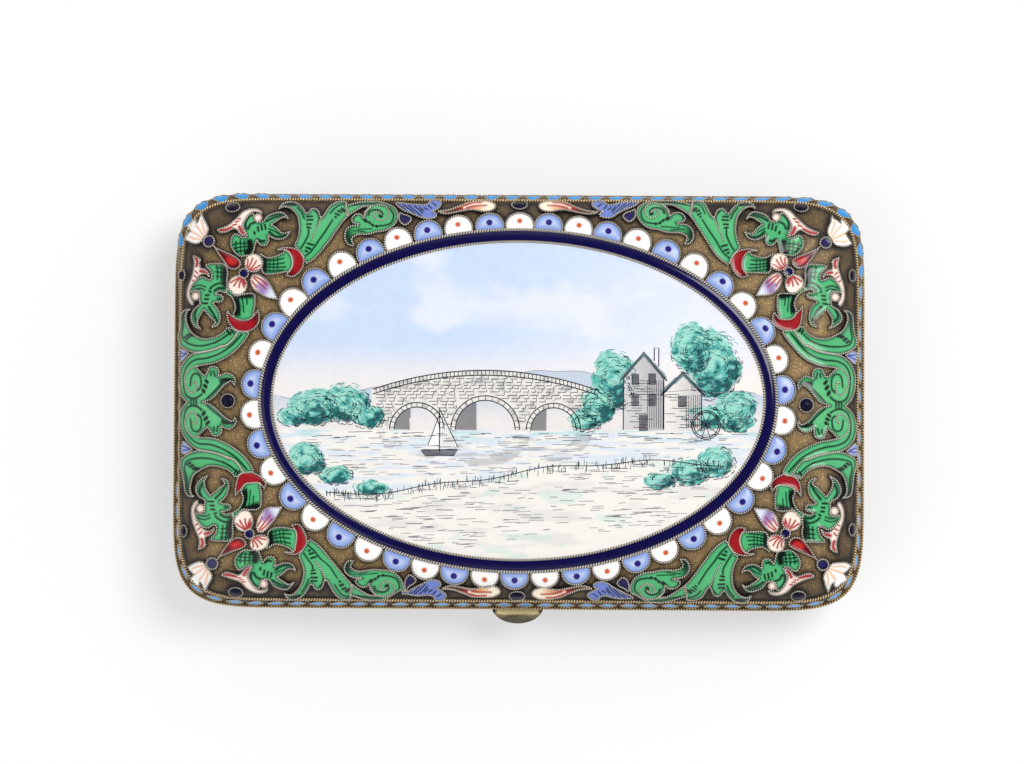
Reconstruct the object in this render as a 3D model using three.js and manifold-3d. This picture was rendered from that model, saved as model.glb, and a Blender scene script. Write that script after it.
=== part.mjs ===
// Cigarette case of silver gilt with raised cloisonne scrollwork.
// Two cushioned half shells close on a flush pinned hinge along the back long side.
// X runs along the case, the thumb piece faces -Y, the hinge is at +Y, the lid is up.
// The origin is the middle of the flat oval plate that the closed case rests on.
import * as THREE from 'three';
import { mergeVertices } from 'three/addons/utils/BufferGeometryUtils.js';
import Module from 'manifold-3d';

const wasm = await Module();
wasm.setup();

// Overall outline, a rectangle with superellipse corners
const CASE_LENGTH = 108;
const CASE_WIDTH = 65;
const CORNER_REACH = 20;
const CORNER_POWER = 4.8;
const CORNER_STEPS = 6;

// Section of one half: upright foot, leaning side, cushioned face
const FOOT_INSET = 0.45;
const FOOT_HEIGHT = 0.35;
const SIDE_LEAN = 1.25;
const SIDE_RISE = 4.4;
const CUSHION_EDGE = 1.5;
const CUSHION_START = 4.7;
const CUSHION_RISE = 5.0;
const CUSHION_SOFTNESS = 2.9;
const CUSHION_INSETS = [2.1, 3.4, 5.8, 10.5, 19];
const WALL = 0.8;
const PARTING_GAP = 0.1;

// Faces round a round part, and how far a cutter runs past what it cuts
const ROUND_SIDES = 10;
const BARREL_SIDES = 14;
const RELIEF_SIDES = 20;
const BULGE_FACES = [20, 12];
const DISH_FACES = [40, 24];
const PAST = 1;
const BEYOND = 20;

// Gap left under soldered wires and enamel
const SEAT_GAP = 0.1;
const NEIGHBOUR_GAP = 0.12;

// Twisted wire borders
const RIM_ROPE_RADIUS = 0.25;
const RIM_ROPE_HEIGHT = 0.38;
const FACE_ROPE_RADIUS = 0.28;
const OVAL_ROPE_RADIUS = 0.27;
const ROPE_SIDES = 5;

// Enamelled side band
const SIDE_BAND_THICKNESS = 0.3;
const SIDE_BAND_MARGIN = 0.3;

// Oval picture and its frame, half sizes in plan
const OVAL_LENGTH_MARGIN = 14.25;
const OVAL_WIDTH_MARGIN = 6.12;
const FRAME_WIDTH = 1.9;
const OVAL_STEPS = 40;
const PLAQUE_THICKNESS = 0.35;
const NAVY_THICKNESS = 0.3;

// Scalloped border of the oval
const SCALLOPS = 46;
const SCALLOP_HEIGHT = 2.5;
const SCALLOP_LOBE = [[-0.5, 0], [-0.36, 0.7], [0, 1], [0.36, 0.7]];
const SCALLOP_FOOT = 0.2;
const SCALLOP_THICKNESS = 0.5;

// Raised scrollwork
const SCROLL_THICKNESS = 0.5;
const WIRE_HALF_WIDTH = 0.14;
const BEAD_HEIGHT = 0.75;

// Hinge
const HINGE_END_MARGIN = 12;
const HINGE_LENGTH = CASE_LENGTH - 2 * HINGE_END_MARGIN;
const HINGE_INSET = 0.95;
const KNUCKLES = 7;
const KNUCKLE_RADIUS = 1.0;
const KNUCKLE_BORE = 0.47;
const KNUCKLE_GAP = 0.15;
const BARREL_CLEARANCE = 0.12;
const PIN_RADIUS = 0.4;
const PLUG_LENGTH = 1.1;
const PLUG_HEAD_RADIUS = 0.75;
const PLUG_HEAD = 0.25;
const OPEN_ANGLE = 110;
const RELIEF_CLEARANCE = 2.5;
const BEARER_LIP = 0.5;
const BEARER_HEIGHT = 2.6;

// Inner rim of the base that the lid closes over
const BEZEL_THICKNESS = 0.5;
const BEZEL_RISE = 1.8;
const BEZEL_FOOT = 2.6;

// Push piece, keeper and catch spring at the front
const THUMB_HALF_WIDTH = 4.1;
const THUMB_REACH = 2.25;
const THUMB_BODY = 0.75;
const THUMB_DROP = 0.25;
const THUMB_DEPTH = 3.2;
const THUMB_DISH = 0.5;
const THUMB_TRAVEL = 0.9;
const SLIDE_GAP = 0.15;
const STEM_THICKNESS = 0.7;
const HORN_INNER = 2.0;
const HORN_OUTER = 3.4;
const HORN_LENGTH = 1.9;
const HORN_TOP = 1.2;
const CATCH_HALF_WIDTH = 1.5;
const KEEPER_THICKNESS = 0.55;
const KEEPER_DROP = 2.05;
const NOSE_LENGTH = 0.65;
const NOSE_THICKNESS = 0.55;
const NOSE_ENGAGEMENT = THUMB_TRAVEL / 3;
const KEEPER_FOOT_TOP = 4.3;
const KEEPER_FOOT_HEIGHT = 1.1;
const SPRING_THICKNESS = 0.3;
const SPRING_HEIGHT = 1.2;
const SPRING_HALF_LENGTH = 16;
const SPRING_FOOT = 4.5;
const SPRING_RAMP = 3;
const HOOK_TOP = 0.75;
const RIVET_RADIUS = 0.4;
const RIVET_HOLE_GAP = 0.06;
const RIVET_HEAD_RADIUS = 0.8;
const RIVET_HEAD = 0.35;

// Back of the case
const BACK_PLATE_HALF_LENGTH = 27;
const BACK_PLATE_HALF_WIDTH = 15.5;
const BACK_PLATE_THICKNESS = 0.65;
const BACK_ROPE_MARGIN = 0.75;
const BACK_SCROLL_THICKNESS = 0.4;

const HALF_LENGTH = CASE_LENGTH / 2;
const HALF_WIDTH = CASE_WIDTH / 2;
const LID = 1;
const BASE = -1;

// Height of the cushion above the parting plane at an inset from the outer edge
function cushionHeight(inset) {
  return CUSHION_START + CUSHION_RISE * (1 - Math.exp((CUSHION_EDGE - inset) / CUSHION_SOFTNESS));
}

const PROFILE = [
  [FOOT_INSET, 0],
  [FOOT_INSET, FOOT_HEIGHT],
  [FOOT_INSET + SIDE_LEAN, FOOT_HEIGHT + SIDE_RISE],
  ...CUSHION_INSETS.map((inset) => [inset, cushionHeight(inset)]),
];
const HALF_HEIGHT = PROFILE[PROFILE.length - 1][1];
const PARTING = HALF_HEIGHT + BACK_PLATE_THICKNESS;

const HINGE_Y = HALF_WIDTH - HINGE_INSET;
const HINGE_HALF = HINGE_LENGTH / 2;
const OVAL_A = HALF_LENGTH - OVAL_LENGTH_MARGIN;
const OVAL_B = HALF_WIDTH - OVAL_WIDTH_MARGIN;

// The section moved outwards along its own normals by a distance
function offsetProfile(distance) {
  const normals = PROFILE.slice(1).map(([inset, height], i) => {
    const [a, b] = [inset - PROFILE[i][0], height - PROFILE[i][1]];
    const size = Math.hypot(a, b);
    return [-b / size, a / size];
  });
  return PROFILE.map(([inset, height], i) => {
    const before = normals[Math.max(i - 1, 0)];
    const after = normals[Math.min(i, normals.length - 1)];
    const sum = [before[0] + after[0], before[1] + after[1]];
    const share = (2 * distance) / (sum[0] ** 2 + sum[1] ** 2);
    return [inset + sum[0] * share, height + sum[1] * share];
  });
}

// Inset of the side wall's outer face at a height above the parting plane
function sideInset(height) {
  return FOOT_INSET + (Math.max(height - FOOT_HEIGHT, 0) * SIDE_LEAN) / SIDE_RISE;
}

const innerInset = (height) => sideInset(height) + WALL * Math.hypot(1, SIDE_LEAN / SIDE_RISE);

// Inset of a plan point, the superellipse ring that it lies on
function insetAt(x, y) {
  const a = Math.max(CORNER_REACH - HALF_LENGTH + Math.abs(x), 0);
  const b = Math.max(CORNER_REACH - HALF_WIDTH + Math.abs(y), 0);
  return CORNER_REACH - (a ** CORNER_POWER + b ** CORNER_POWER) ** (1 / CORNER_POWER);
}

// Height and slope of the faceted face over a plan point
function faceAt(x, y) {
  const inset = insetAt(x, y);
  const last = PROFILE.length - 1;
  let i = 2;
  while (i < last - 1 && PROFILE[i + 1][0] < inset) i += 1;
  const [[d0, h0], [d1, h1]] = [PROFILE[i], PROFILE[i + 1]];
  const slope = inset > d1 ? 0 : (h1 - h0) / (d1 - d0);
  return { height: h0 + Math.min(inset - d0, d1 - d0) * ((h1 - h0) / (d1 - d0)), slope };
}

// Plan points of the ring at an inset, anticlockwise from the +X side
function ringPoints(inset) {
  const reach = CORNER_REACH - inset;
  const points = [];
  for (const [sx, sy] of [[1, 1], [-1, 1], [-1, -1], [1, -1]]) {
    for (let i = 0; i <= CORNER_STEPS; i += 1) {
      const s = ((2 * i) / CORNER_STEPS - 1) * sx * sy;
      const angle = (Math.PI / 4) * (1 + s * (0.5 + 0.5 * s * s));
      const [c, k] = [Math.cos(angle), Math.sin(angle)];
      const r = reach / (c ** CORNER_POWER + k ** CORNER_POWER) ** (1 / CORNER_POWER);
      const x = HALF_LENGTH - CORNER_REACH + r * c;
      const y = HALF_WIDTH - CORNER_REACH + r * k;
      points.push([sx * x, sy * y]);
    }
  }
  return points;
}

// A closed solid from a geometry, with its faces turned outwards
function solidFrom(geometry) {
  const bare = new THREE.BufferGeometry();
  bare.setAttribute('position', geometry.getAttribute('position'));
  bare.setIndex(geometry.getIndex());
  const merged = mergeVertices(bare, 1e-4);
  const vertProperties = merged.attributes.position.array;
  const corners = Array.from(merged.index.array);
  const faces = [];
  let volume = 0;
  const at = (i) => new THREE.Vector3().fromArray(vertProperties, 3 * i);
  for (let i = 0; i < corners.length; i += 3) {
    const [a, b, c] = corners.slice(i, i + 3);
    if (a === b || b === c || c === a) continue;
    volume += at(a).dot(at(b).cross(at(c)));
    faces.push([a, b, c]);
  }
  const outward = volume < 0 ? faces.map(([a, b, c]) => [a, c, b]) : faces;
  const triVerts = new Uint32Array(outward.flat());
  return new wasm.Manifold(new wasm.Mesh({ numProp: 3, vertProperties, triVerts }));
}

function geometryFrom(solid) {
  const mesh = solid.getMesh();
  const geometry = new THREE.BufferGeometry();
  const position = new THREE.BufferAttribute(mesh.vertProperties, 3);
  geometry.setAttribute('position', position);
  geometry.setIndex(new THREE.BufferAttribute(mesh.triVerts, 1));
  return geometry;
}

const joined = (solids) => solids.reduce((all, one) => all.add(one));
const cut = (solid, cutters) => cutters.reduce((all, one) => all.subtract(one), solid);

// The bodies of a solid, largest first
function bodiesOf(solid) {
  return solid.decompose().sort((a, b) => b.volume() - a.volume());
}

// Skin over rings of equal point counts. Rings are open chains of sections unless looped.
function skin(rings, looped) {
  const count = rings[0].length;
  const positions = rings.flat(2);
  const index = [];
  const spans = looped ? rings.length : rings.length - 1;
  for (let i = 0; i < spans; i += 1) {
    const next = (i + 1) % rings.length;
    for (let j = 0; j < count; j += 1) {
      const k = (j + 1) % count;
      const [a, b] = [i * count + j, i * count + k];
      const [c, d] = [next * count + k, next * count + j];
      index.push(a, b, c, a, c, d);
    }
  }
  const geometry = new THREE.BufferGeometry();
  if (!looped) {
    for (const [ring, turned] of [[0, true], [rings.length - 1, false]]) {
      const middle = positions.length / 3;
      const sum = rings[ring].reduce((t, p) => t.map((v, n) => v + p[n]), [0, 0, 0]);
      positions.push(...sum.map((v) => v / count));
      for (let j = 0; j < count; j += 1) {
        const [a, b] = [ring * count + j, ring * count + ((j + 1) % count)];
        index.push(...(turned ? [b, a, middle] : [a, b, middle]));
      }
    }
  }
  geometry.setAttribute('position', new THREE.Float32BufferAttribute(positions, 3));
  geometry.setIndex(index);
  return geometry;
}

// Everything under a half's surface moved outwards by a distance, down to a foot height
function dome(side, distance, foot) {
  const stations = offsetProfile(distance);
  stations[0] = [stations[0][0], foot];
  const rings = stations.map(([inset, height]) =>
    ringPoints(inset).map(([x, y]) => [x, y, PARTING + side * height]));
  return solidFrom(skin(rings, false));
}

// A section of [inset, height] points carried once round the case
function aroundCase(side, section) {
  const perPoint = section.map(([inset, height]) =>
    ringPoints(inset).map(([x, y]) => [x, y, PARTING + side * height]));
  const rings = perPoint[0].map((_, j) => perPoint.map((chain) => chain[j]));
  return solidFrom(skin(rings, true));
}

function circlePoints(centre, radius, sides) {
  return Array.from({ length: sides }, (_, i) => {
    const angle = (2 * Math.PI * i) / sides;
    return [centre[0] + radius * Math.cos(angle), centre[1] + radius * Math.sin(angle)];
  });
}

function ovalPoints(a, b, steps) {
  return Array.from({ length: steps }, (_, i) => {
    const angle = (2 * Math.PI * (i + 0.5)) / steps;
    return [a * Math.cos(angle), b * Math.sin(angle)];
  });
}

// A round wire laid along an oval on a half's face
function ovalRope(side, a, b, radius) {
  const rings = ovalPoints(a, b, OVAL_STEPS).map(([x, y], i) => {
    const angle = (2 * Math.PI * (i + 0.5)) / OVAL_STEPS;
    const out = new THREE.Vector2(b * Math.cos(angle), a * Math.sin(angle)).normalize();
    const { height, slope } = faceAt(x, y);
    const lift = height + (radius + SEAT_GAP) * Math.hypot(1, slope);
    return circlePoints([0, 0], radius, ROPE_SIDES).map(([across, up]) =>
      [x + out.x * across, y + out.y * across, PARTING + side * (lift + up)]);
  });
  return solidFrom(skin(rings, true));
}

function shapeOf(points) {
  return new THREE.Shape(points.map(([x, y]) => new THREE.Vector2(x, y)));
}

// An upright prism over a plan outline
function prism(points, low, high, hole) {
  const shape = shapeOf(points);
  if (hole) shape.holes.push(shapeOf(hole));
  const geometry = new THREE.ExtrudeGeometry(shape, { depth: high - low, bevelEnabled: false });
  return solidFrom(geometry.translate(0, 0, low));
}

// A bar along X with its section given as [y, z] points
function barAlongX(section, x0, x1, holeSection) {
  const shape = shapeOf(section);
  if (holeSection) shape.holes.push(shapeOf(holeSection));
  const geometry = new THREE.ExtrudeGeometry(shape, { depth: x1 - x0, bevelEnabled: false });
  const [x, y, z] = [[1, 0, 0], [0, 1, 0], [0, 0, 1]].map((axis) => new THREE.Vector3(...axis));
  geometry.applyMatrix4(new THREE.Matrix4().makeBasis(y, z, x));
  return solidFrom(geometry.translate(x0, 0, 0));
}

function block(x0, x1, y0, y1, z0, z1) {
  return prism([[x0, y0], [x1, y0], [x1, y1], [x0, y1]], z0, z1);
}

// An outline widened on all sides by a distance
function grown(points, distance) {
  const area = points.reduce((sum, [x, y], i) => {
    const [u, v] = points[(i + 1) % points.length];
    return sum + x * v - u * y;
  }, 0);
  const turn = Math.sign(area);
  return points.map(([x, y], i) => {
    const [px, py] = points[(i + points.length - 1) % points.length];
    const [nx, ny] = points[(i + 1) % points.length];
    const before = new THREE.Vector2(y - py, px - x).normalize();
    const after = new THREE.Vector2(ny - y, x - nx).normalize();
    const sum = before.add(after);
    const mitre = Math.min(2 / Math.max(sum.lengthSq(), 1e-6), 0.9);
    return [x + turn * distance * mitre * sum.x, y + turn * distance * mitre * sum.y];
  });
}

// Plate of a given thickness laid on a half's face inside upright prisms
const domes = new Map();
function domeOnce(side, distance) {
  const key = `${side} ${distance}`;
  if (!domes.has(key)) domes.set(key, dome(side, distance, -PAST));
  return domes.get(key);
}
function laidOn(side, upright, thickness) {
  const top = domeOnce(side, SEAT_GAP + thickness);
  return upright.intersect(top).subtract(domeOnce(side, SEAT_GAP));
}

const lowOf = (side) => (side === LID ? PARTING : -BEYOND);
const highOf = (side) => (side === LID ? PARTING + BEYOND : PARTING);
const upright = (side, points, hole) => prism(points, lowOf(side), highOf(side), hole);

// Ornament drawn for one quadrant of a case of this half length and half width
const DRAWN_CORNER = [54, 32.5];
const BEADS = [
  { name: 'bead_back', at: [0, 30.5], half: [1.25, 0.8] },
  { name: 'bead_front', at: [0, -30.5], half: [1.25, 0.8] },
  { name: 'bead_right', at: [44.8, 0], half: [1.1, 1.1] },
  { name: 'bead_left', at: [-44.8, 0], half: [1.1, 1.1] },
];
const FLOWER_BEAD = { at: [42.4, 19.35], radius: 0.85 };
const FLOWER_PETALS = [
  [[46.9, 23.1], [45.3, 22.4], [43.3, 21.4], [43.1, 20.6], [43.7, 20.1], [44.7, 20.4], [45.8, 21.7]],
  [[41.2, 18.3], [40.6, 19], [39, 18.2], [37.9, 16.8], [37.3, 15.6], [39.3, 16.2], [40.75, 17.2]],
];
const FLOWER_BALLS = [
  { at: [40.9, 20.95], radius: 1.25 },
  { at: [43.3, 17.5], radius: 1.3 },
];
const TULIP = [
  [49.55, 28.9], [48.9, 27.7], [48.2, 26.4], [48.35, 25.6], [49.3, 24.3], [50.3, 24.1], [52.2, 25],
  [51.2, 26.4], [51.6, 27.2], [50.85, 27.85], [50, 27.25],
];
const TULIP_BEAD = { at: [47.95, 24.35], radius: 1 };
const LONG_CELLS = [
  [[46.7, 26.15], [44.95, 26.85], [43.6, 28.1], [42.7, 29.1], [41.3, 29.5], [40.15, 29.15], [40, 28.3],
    [40.6, 27.9], [41.6, 28.8], [42.5, 27.8], [42.8, 26.6], [42.3, 25.2], [43.3, 25.8], [44.3, 26.3],
    [45.9, 25.7]],
  [[43, 22], [44.3, 23.2], [44.5, 24.4], [44, 25.4], [43, 25], [42.2, 25.1], [42.7, 26.8], [41.9, 28.5],
    [41.3, 28.7], [40.6, 27.4], [39.55, 27.5], [38.3, 28.65], [36.85, 28.9], [35.75, 27.85],
    [37.1, 27.9], [38.4, 26.9], [36.8, 25.7], [35.4, 25.95], [36.5, 24.7], [37.9, 24.8], [38.85, 25.2],
    [38.7, 24.4], [39.4, 23.6], [40.5, 24.5], [40.7, 23.3], [41.3, 22.2]],
  [[41.5, 22.2], [40.8, 23.3], [39.7, 22.2], [38.6, 21.75], [37.2, 22.1], [35.9, 22.95], [34.9, 20.8],
    [35.3, 19.8], [37.65, 19.3], [39.2, 19.3], [39.6, 21], [40.2, 22.1]],
  [[37.3, 23], [35.75, 23.35], [33.9, 22.8], [33.2, 21.65], [33.5, 20.05], [34.7, 18.95], [35.9, 19.05],
    [34.9, 20.6], [35.2, 22.2], [36, 22.9]],
  [[32.75, 20.95], [30.75, 22.6], [28.9, 25.1], [27.3, 27.6], [26.6, 29.1], [26.95, 30.7],
    [28.65, 30.6], [29.95, 29.15], [30.7, 28.1], [31.4, 29.4], [32.65, 28.9], [33.6, 29.5],
    [35.15, 30.65], [36.4, 30.65], [37.3, 29.6], [35.5, 29.6], [34.3, 28.1], [33.95, 26.35],
    [34.6, 23.7], [33.3, 22]],
  [[27, 30.1], [25.25, 30.65], [22.2, 30.85], [20.1, 30.2], [18.9, 28.6], [19.5, 27], [21.4, 26],
    [23.85, 25.5], [25.4, 25.25], [25.5, 23.75], [26.7, 24.4], [26.75, 26.1], [24.85, 27],
    [25.9, 27.9], [25.1, 28.75], [24.1, 28], [23.1, 30], [25, 29.6], [26.7, 28.35]],
  [[20, 30.2], [17.2, 30.5], [14.7, 30.35], [13.4, 31.35], [12.3, 30.6], [12.4, 29.6], [13, 28.35],
    [14.85, 28.15], [17, 29], [19.3, 29.6]],
  [[18.9, 28.9], [17, 28.3], [17.2, 27.3], [18.5, 27.5], [19.2, 28.1]],
  [[13.2, 29.2], [10.7, 29.6], [8.3, 30.7], [6.1, 31.1], [4.2, 30.7], [4, 29.75], [5.7, 29.3],
    [7.65, 29.6], [10, 29.1], [12.6, 28.9]],
];
const END_CELLS = [
  [[50.4, 22.2], [49.4, 20.9], [48.4, 19.9], [47.8, 18.8], [49.15, 19.25], [50.3, 18], [50.95, 16.6],
    [50.4, 16.3], [49.5, 15.9], [49.9, 15], [50.7, 14.8], [51.35, 15.9], [51.2, 17.8], [50.3, 20.2]],
  [[48.3, 20.6], [46.5, 20.85], [45.1, 20.3], [44.95, 17.5], [45.15, 16.45], [46.8, 16.2], [45.5, 15.5],
    [46.3, 14.9], [47.1, 14.75], [46.1, 13.2], [46.2, 11.6], [47.3, 11.05], [47.1, 12.3],
    [48.55, 13.85], [49.6, 12], [49.1, 10.8], [50.5, 12], [50.2, 13.9], [49.2, 14.65], [49.4, 16.5],
    [50.8, 16.65], [50, 18.2], [48.9, 18.85], [47.6, 18.6]],
  [[45.35, 16.7], [43.75, 14.8], [43.9, 12.8], [42.4, 12], [40.6, 12.9], [40.6, 15.15], [40.8, 16.15],
    [43.6, 15.9], [44.7, 17.2]],
  [[44.85, 13.55], [43.6, 12.4], [42.4, 12.1], [41.2, 12.4], [40.15, 13.65], [39.9, 12.2], [40.75, 10.85],
    [42.4, 10.3], [43.9, 10.95], [44.8, 12.3]],
  [[43, 10.3], [44.4, 11.2], [46.05, 9.85], [48, 9.25], [50, 9.8], [51.3, 11.3], [51.1, 13.4],
    [52.65, 12.85], [52.6, 11.3], [53.05, 9.8], [52.55, 8.3], [50.35, 7.25], [47.8, 7.4], [45, 8.4]],
  [[41.45, 10.5], [42.85, 8.15], [45, 6.4], [47.2, 5.45], [49.6, 5], [48.5, 3.7], [47.7, 4.7], [47, 5],
    [46.1, 4.4], [46, 3.5], [44.8, 3.95], [43.55, 2.95], [43.65, 2.2], [44.75, 2.55], [46.5, 1.05],
    [48.5, 0], [51.2, 0], [52.4, 1.3], [52.85, 2.85], [52.5, 4.95], [51.15, 6.55], [50.3, 7.1],
    [47.8, 7.4], [45.3, 8.3], [43.2, 10.4]],
  [[53.3, 7.6], [52, 7.7], [51.3, 7.05], [52, 6.2], [53.1, 5.85]],
];

const BACK_CURLS = [
  { at: [43.5, 15], start: 1.5, turn: -3.4, radius: 5.2, width: 2.2 },
  { at: [28, 23.9], start: 3.7, turn: 3.2, radius: 5.2, width: 2.2 },
];
const BACK_LEAF = [
  [47.5, 27.1], [44.5, 27.9], [41, 25.1], [33.4, 21.9], [32.4, 19.5], [39.3, 18.3], [41.6, 20.3], [45, 22.1],
  [48.2, 24.5],
];
const CURL_STEPS = 8;
const CURL_CLOSING = 0.62;
const CURL_TAPER = 0.5;

// Drawn points spread with the case and mirrored into a quadrant
function placed(points, sx, sy) {
  const [alongX, alongY] = [HALF_LENGTH / DRAWN_CORNER[0], HALF_WIDTH / DRAWN_CORNER[1]];
  return points.map(([u, v]) => [sx * u * alongX, sy * v * alongY]);
}

function motif(outlines, rounds, sx, sy, margin) {
  const circles = rounds.map(({ at, radius }) => circlePoints(at, radius, ROUND_SIDES));
  const drawn = [...outlines, ...circles].map((points) => placed(points, sx, sy));
  return joined(drawn.map((points) => upright(LID, grown(points, WIRE_HALF_WIDTH + margin))));
}

// The quadrant's own share of the face, so that mirrored scrolls meet with a seam
function quadrant(sx, sy) {
  const seam = NEIGHBOUR_GAP / 2;
  const [x0, x1] = sx > 0 ? [seam, HALF_LENGTH] : [-HALF_LENGTH, -seam];
  const [y0, y1] = sy > 0 ? [seam, HALF_WIDTH] : [-HALF_WIDTH, -seam];
  return block(x0, x1, y0, y1, PARTING, PARTING + BEYOND).intersect(faceRoom());
}

// The face inside its border rope
const FACE_ROPE_SEAT = offsetProfile(FACE_ROPE_RADIUS + SEAT_GAP)[2];
function faceRoom() {
  return upright(LID, ringPoints(FACE_ROPE_SEAT[0] + FACE_ROPE_RADIUS + NEIGHBOUR_GAP));
}

// Lobes round the oval, as one outline
function scallopOutline(margin) {
  const foot = OVAL_ROPE_RADIUS + NEIGHBOUR_GAP + SCALLOP_FOOT;
  const points = [];
  for (let i = 0; i < SCALLOPS; i += 1) {
    for (const [share, height] of SCALLOP_LOBE) {
      const step = (i + share) / SCALLOPS;
      const [x, y, nx, ny] = alongOval(0.25 + step);
      const out = foot + height * (SCALLOP_HEIGHT - foot) + margin;
      points.push([x + nx * out, y + ny * out]);
    }
  }
  return points;
}

// Plan point and outward normal at a share of the oval's length, from the +X end
const OVAL_ARC = ovalArc();
function ovalArc() {
  const curve = new THREE.EllipseCurve(0, 0, OVAL_A, OVAL_B, 0, 2 * Math.PI);
  curve.arcLengthDivisions = 2000;
  return curve;
}
function alongOval(share) {
  const point = OVAL_ARC.getPointAt(((share % 1) + 1) % 1);
  const normal = new THREE.Vector2(point.x / OVAL_A ** 2, point.y / OVAL_B ** 2).normalize();
  return [point.x, point.y, normal.x, normal.y];
}

const FINISHES = {
  gilt: { color: 0xb99a62, roughness: 0.35, metalness: 0.9 },
  giltGround: { color: 0x8a6c3c, roughness: 0.5, metalness: 0.9 },
  silver: { color: 0xd8d0c4, roughness: 0.3, metalness: 0.9 },
  spring: { color: 0x9aa0a6, roughness: 0.35, metalness: 0.9 },
  green: { color: 0x52c476, roughness: 0.2, metalness: 0 },
  turquoise: { color: 0x5ab4e1, roughness: 0.2, metalness: 0 },
  navy: { color: 0x140c5a, roughness: 0.15, metalness: 0 },
  white: { color: 0xf6f4ee, roughness: 0.2, metalness: 0 },
  coral: { color: 0xd96a4c, roughness: 0.2, metalness: 0 },
  pale: { color: 0x9bb2e4, roughness: 0.2, metalness: 0 },
  picture: { color: 0xcfe0f2, roughness: 0.2, metalness: 0 },
};

function piece(name, solid, finish) {
  const material = new THREE.MeshStandardMaterial(FINISHES[finish]);
  const mesh = new THREE.Mesh(geometryFrom(solid), material);
  mesh.name = name;
  return mesh;
}

// Ground that a half gives up so that the halves can swing apart behind the hinge
const RELIEF_ANGLE = THREE.MathUtils.degToRad(OPEN_ANGLE / 2 + RELIEF_CLEARANCE);
function swingRelief(side) {
  const run = BEYOND / Math.tan(RELIEF_ANGLE);
  const section = [
    [HINGE_Y, -PAST], [HINGE_Y, 0], [HINGE_Y + run, BEYOND], [HINGE_Y + run + BEYOND, BEYOND],
    [HINGE_Y + run + BEYOND, -PAST],
  ].map(([y, h]) => [y, PARTING + side * h]);
  return barAlongX(section, -CASE_LENGTH, CASE_LENGTH);
}

function barrelRelief() {
  const section = circlePoints([HINGE_Y, PARTING], KNUCKLE_RADIUS + BARREL_CLEARANCE, RELIEF_SIDES);
  const end = HINGE_HALF + PLUG_HEAD + SLIDE_GAP;
  return barAlongX(section, -end, end);
}

function thumbOpening() {
  const half = THUMB_HALF_WIDTH + SLIDE_GAP;
  const floor = PARTING - THUMB_DROP - THUMB_DEPTH - SLIDE_GAP;
  return block(-half, half, -HALF_WIDTH - BEYOND, BEZEL_INNER_Y + SLIDE_GAP, floor, PARTING + PARTING_GAP);
}

const BEZEL_INSET = innerInset(BEZEL_FOOT) + SEAT_GAP;
const BEZEL_OUTER_Y = -HALF_WIDTH + BEZEL_INSET;
const BEZEL_INNER_Y = BEZEL_OUTER_Y + BEZEL_THICKNESS;

function shell(side) {
  const outer = dome(side, 0, PARTING_GAP / 2);
  const hollow = dome(side, -WALL, -PAST);
  return cut(outer, [hollow, barrelRelief(), swingRelief(side)]);
}

function rimRope(side) {
  const centre = [FOOT_INSET - RIM_ROPE_RADIUS - SEAT_GAP / 2, RIM_ROPE_HEIGHT];
  const section = circlePoints(centre, RIM_ROPE_RADIUS, ROPE_SIDES);
  return aroundCase(side, section).subtract(swingRelief(side));
}

function faceRope(side) {
  const [inset, height] = FACE_ROPE_SEAT;
  const section = circlePoints([inset, height + FACE_ROPE_RADIUS / 2], FACE_ROPE_RADIUS, ROPE_SIDES);
  return aroundCase(side, section);
}

function sideBand(side) {
  const low = FOOT_HEIGHT + SIDE_BAND_MARGIN;
  const high = FOOT_HEIGHT + SIDE_RISE - SIDE_BAND_MARGIN;
  const near = SEAT_GAP;
  const far = SEAT_GAP + SIDE_BAND_THICKNESS;
  const section = [
    [sideInset(low) - near, low], [sideInset(low) - far, low],
    [sideInset(high) - far, high], [sideInset(high) - near, high],
  ];
  return cut(aroundCase(side, section), [barrelRelief(), swingRelief(side)]);
}

// Hinge bearer, the bar inside the back wall with a gutter for the barrel
function bearer(side) {
  const inner = HINGE_Y - KNUCKLE_RADIUS - BARREL_CLEARANCE - BEARER_LIP;
  const low = PARTING_GAP / 2;
  const section = [[inner, low], [HALF_WIDTH, low], [HALF_WIDTH, BEARER_HEIGHT], [inner, BEARER_HEIGHT]]
    .map(([y, h]) => [y, PARTING + side * h]);
  const bar = barAlongX(section, -HINGE_HALF, HINGE_HALF);
  const fitted = bar.intersect(dome(side, -WALL - SEAT_GAP, -PAST));
  return bodiesOf(cut(fitted, [barrelRelief(), swingRelief(side)]))[0];
}

function knuckle(index) {
  const pitch = HINGE_LENGTH / KNUCKLES;
  const x0 = -HINGE_HALF + index * pitch + KNUCKLE_GAP / 2;
  const x1 = x0 + pitch - KNUCKLE_GAP;
  const centre = [HINGE_Y, PARTING];
  const bore = circlePoints(centre, KNUCKLE_BORE, ROUND_SIDES);
  return barAlongX(circlePoints(centre, KNUCKLE_RADIUS, BARREL_SIDES), x0, x1, bore);
}

function hingePin() {
  const end = HINGE_HALF - PLUG_LENGTH - KNUCKLE_GAP;
  return barAlongX(circlePoints([HINGE_Y, PARTING], PIN_RADIUS, ROUND_SIDES), -end, end);
}

function hingePlug(sign) {
  const face = HINGE_HALF;
  const span = (a, b) => (sign > 0 ? [a, b] : [-b, -a]);
  const [s0, s1] = span(face - PLUG_LENGTH, face + PLUG_HEAD);
  const [h0, h1] = span(face, face + PLUG_HEAD);
  const centre = [HINGE_Y, PARTING];
  const shank = barAlongX(circlePoints(centre, PIN_RADIUS, ROUND_SIDES), s0, s1);
  return shank.add(barAlongX(circlePoints(centre, PLUG_HEAD_RADIUS, ROUND_SIDES), h0, h1));
}

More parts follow.
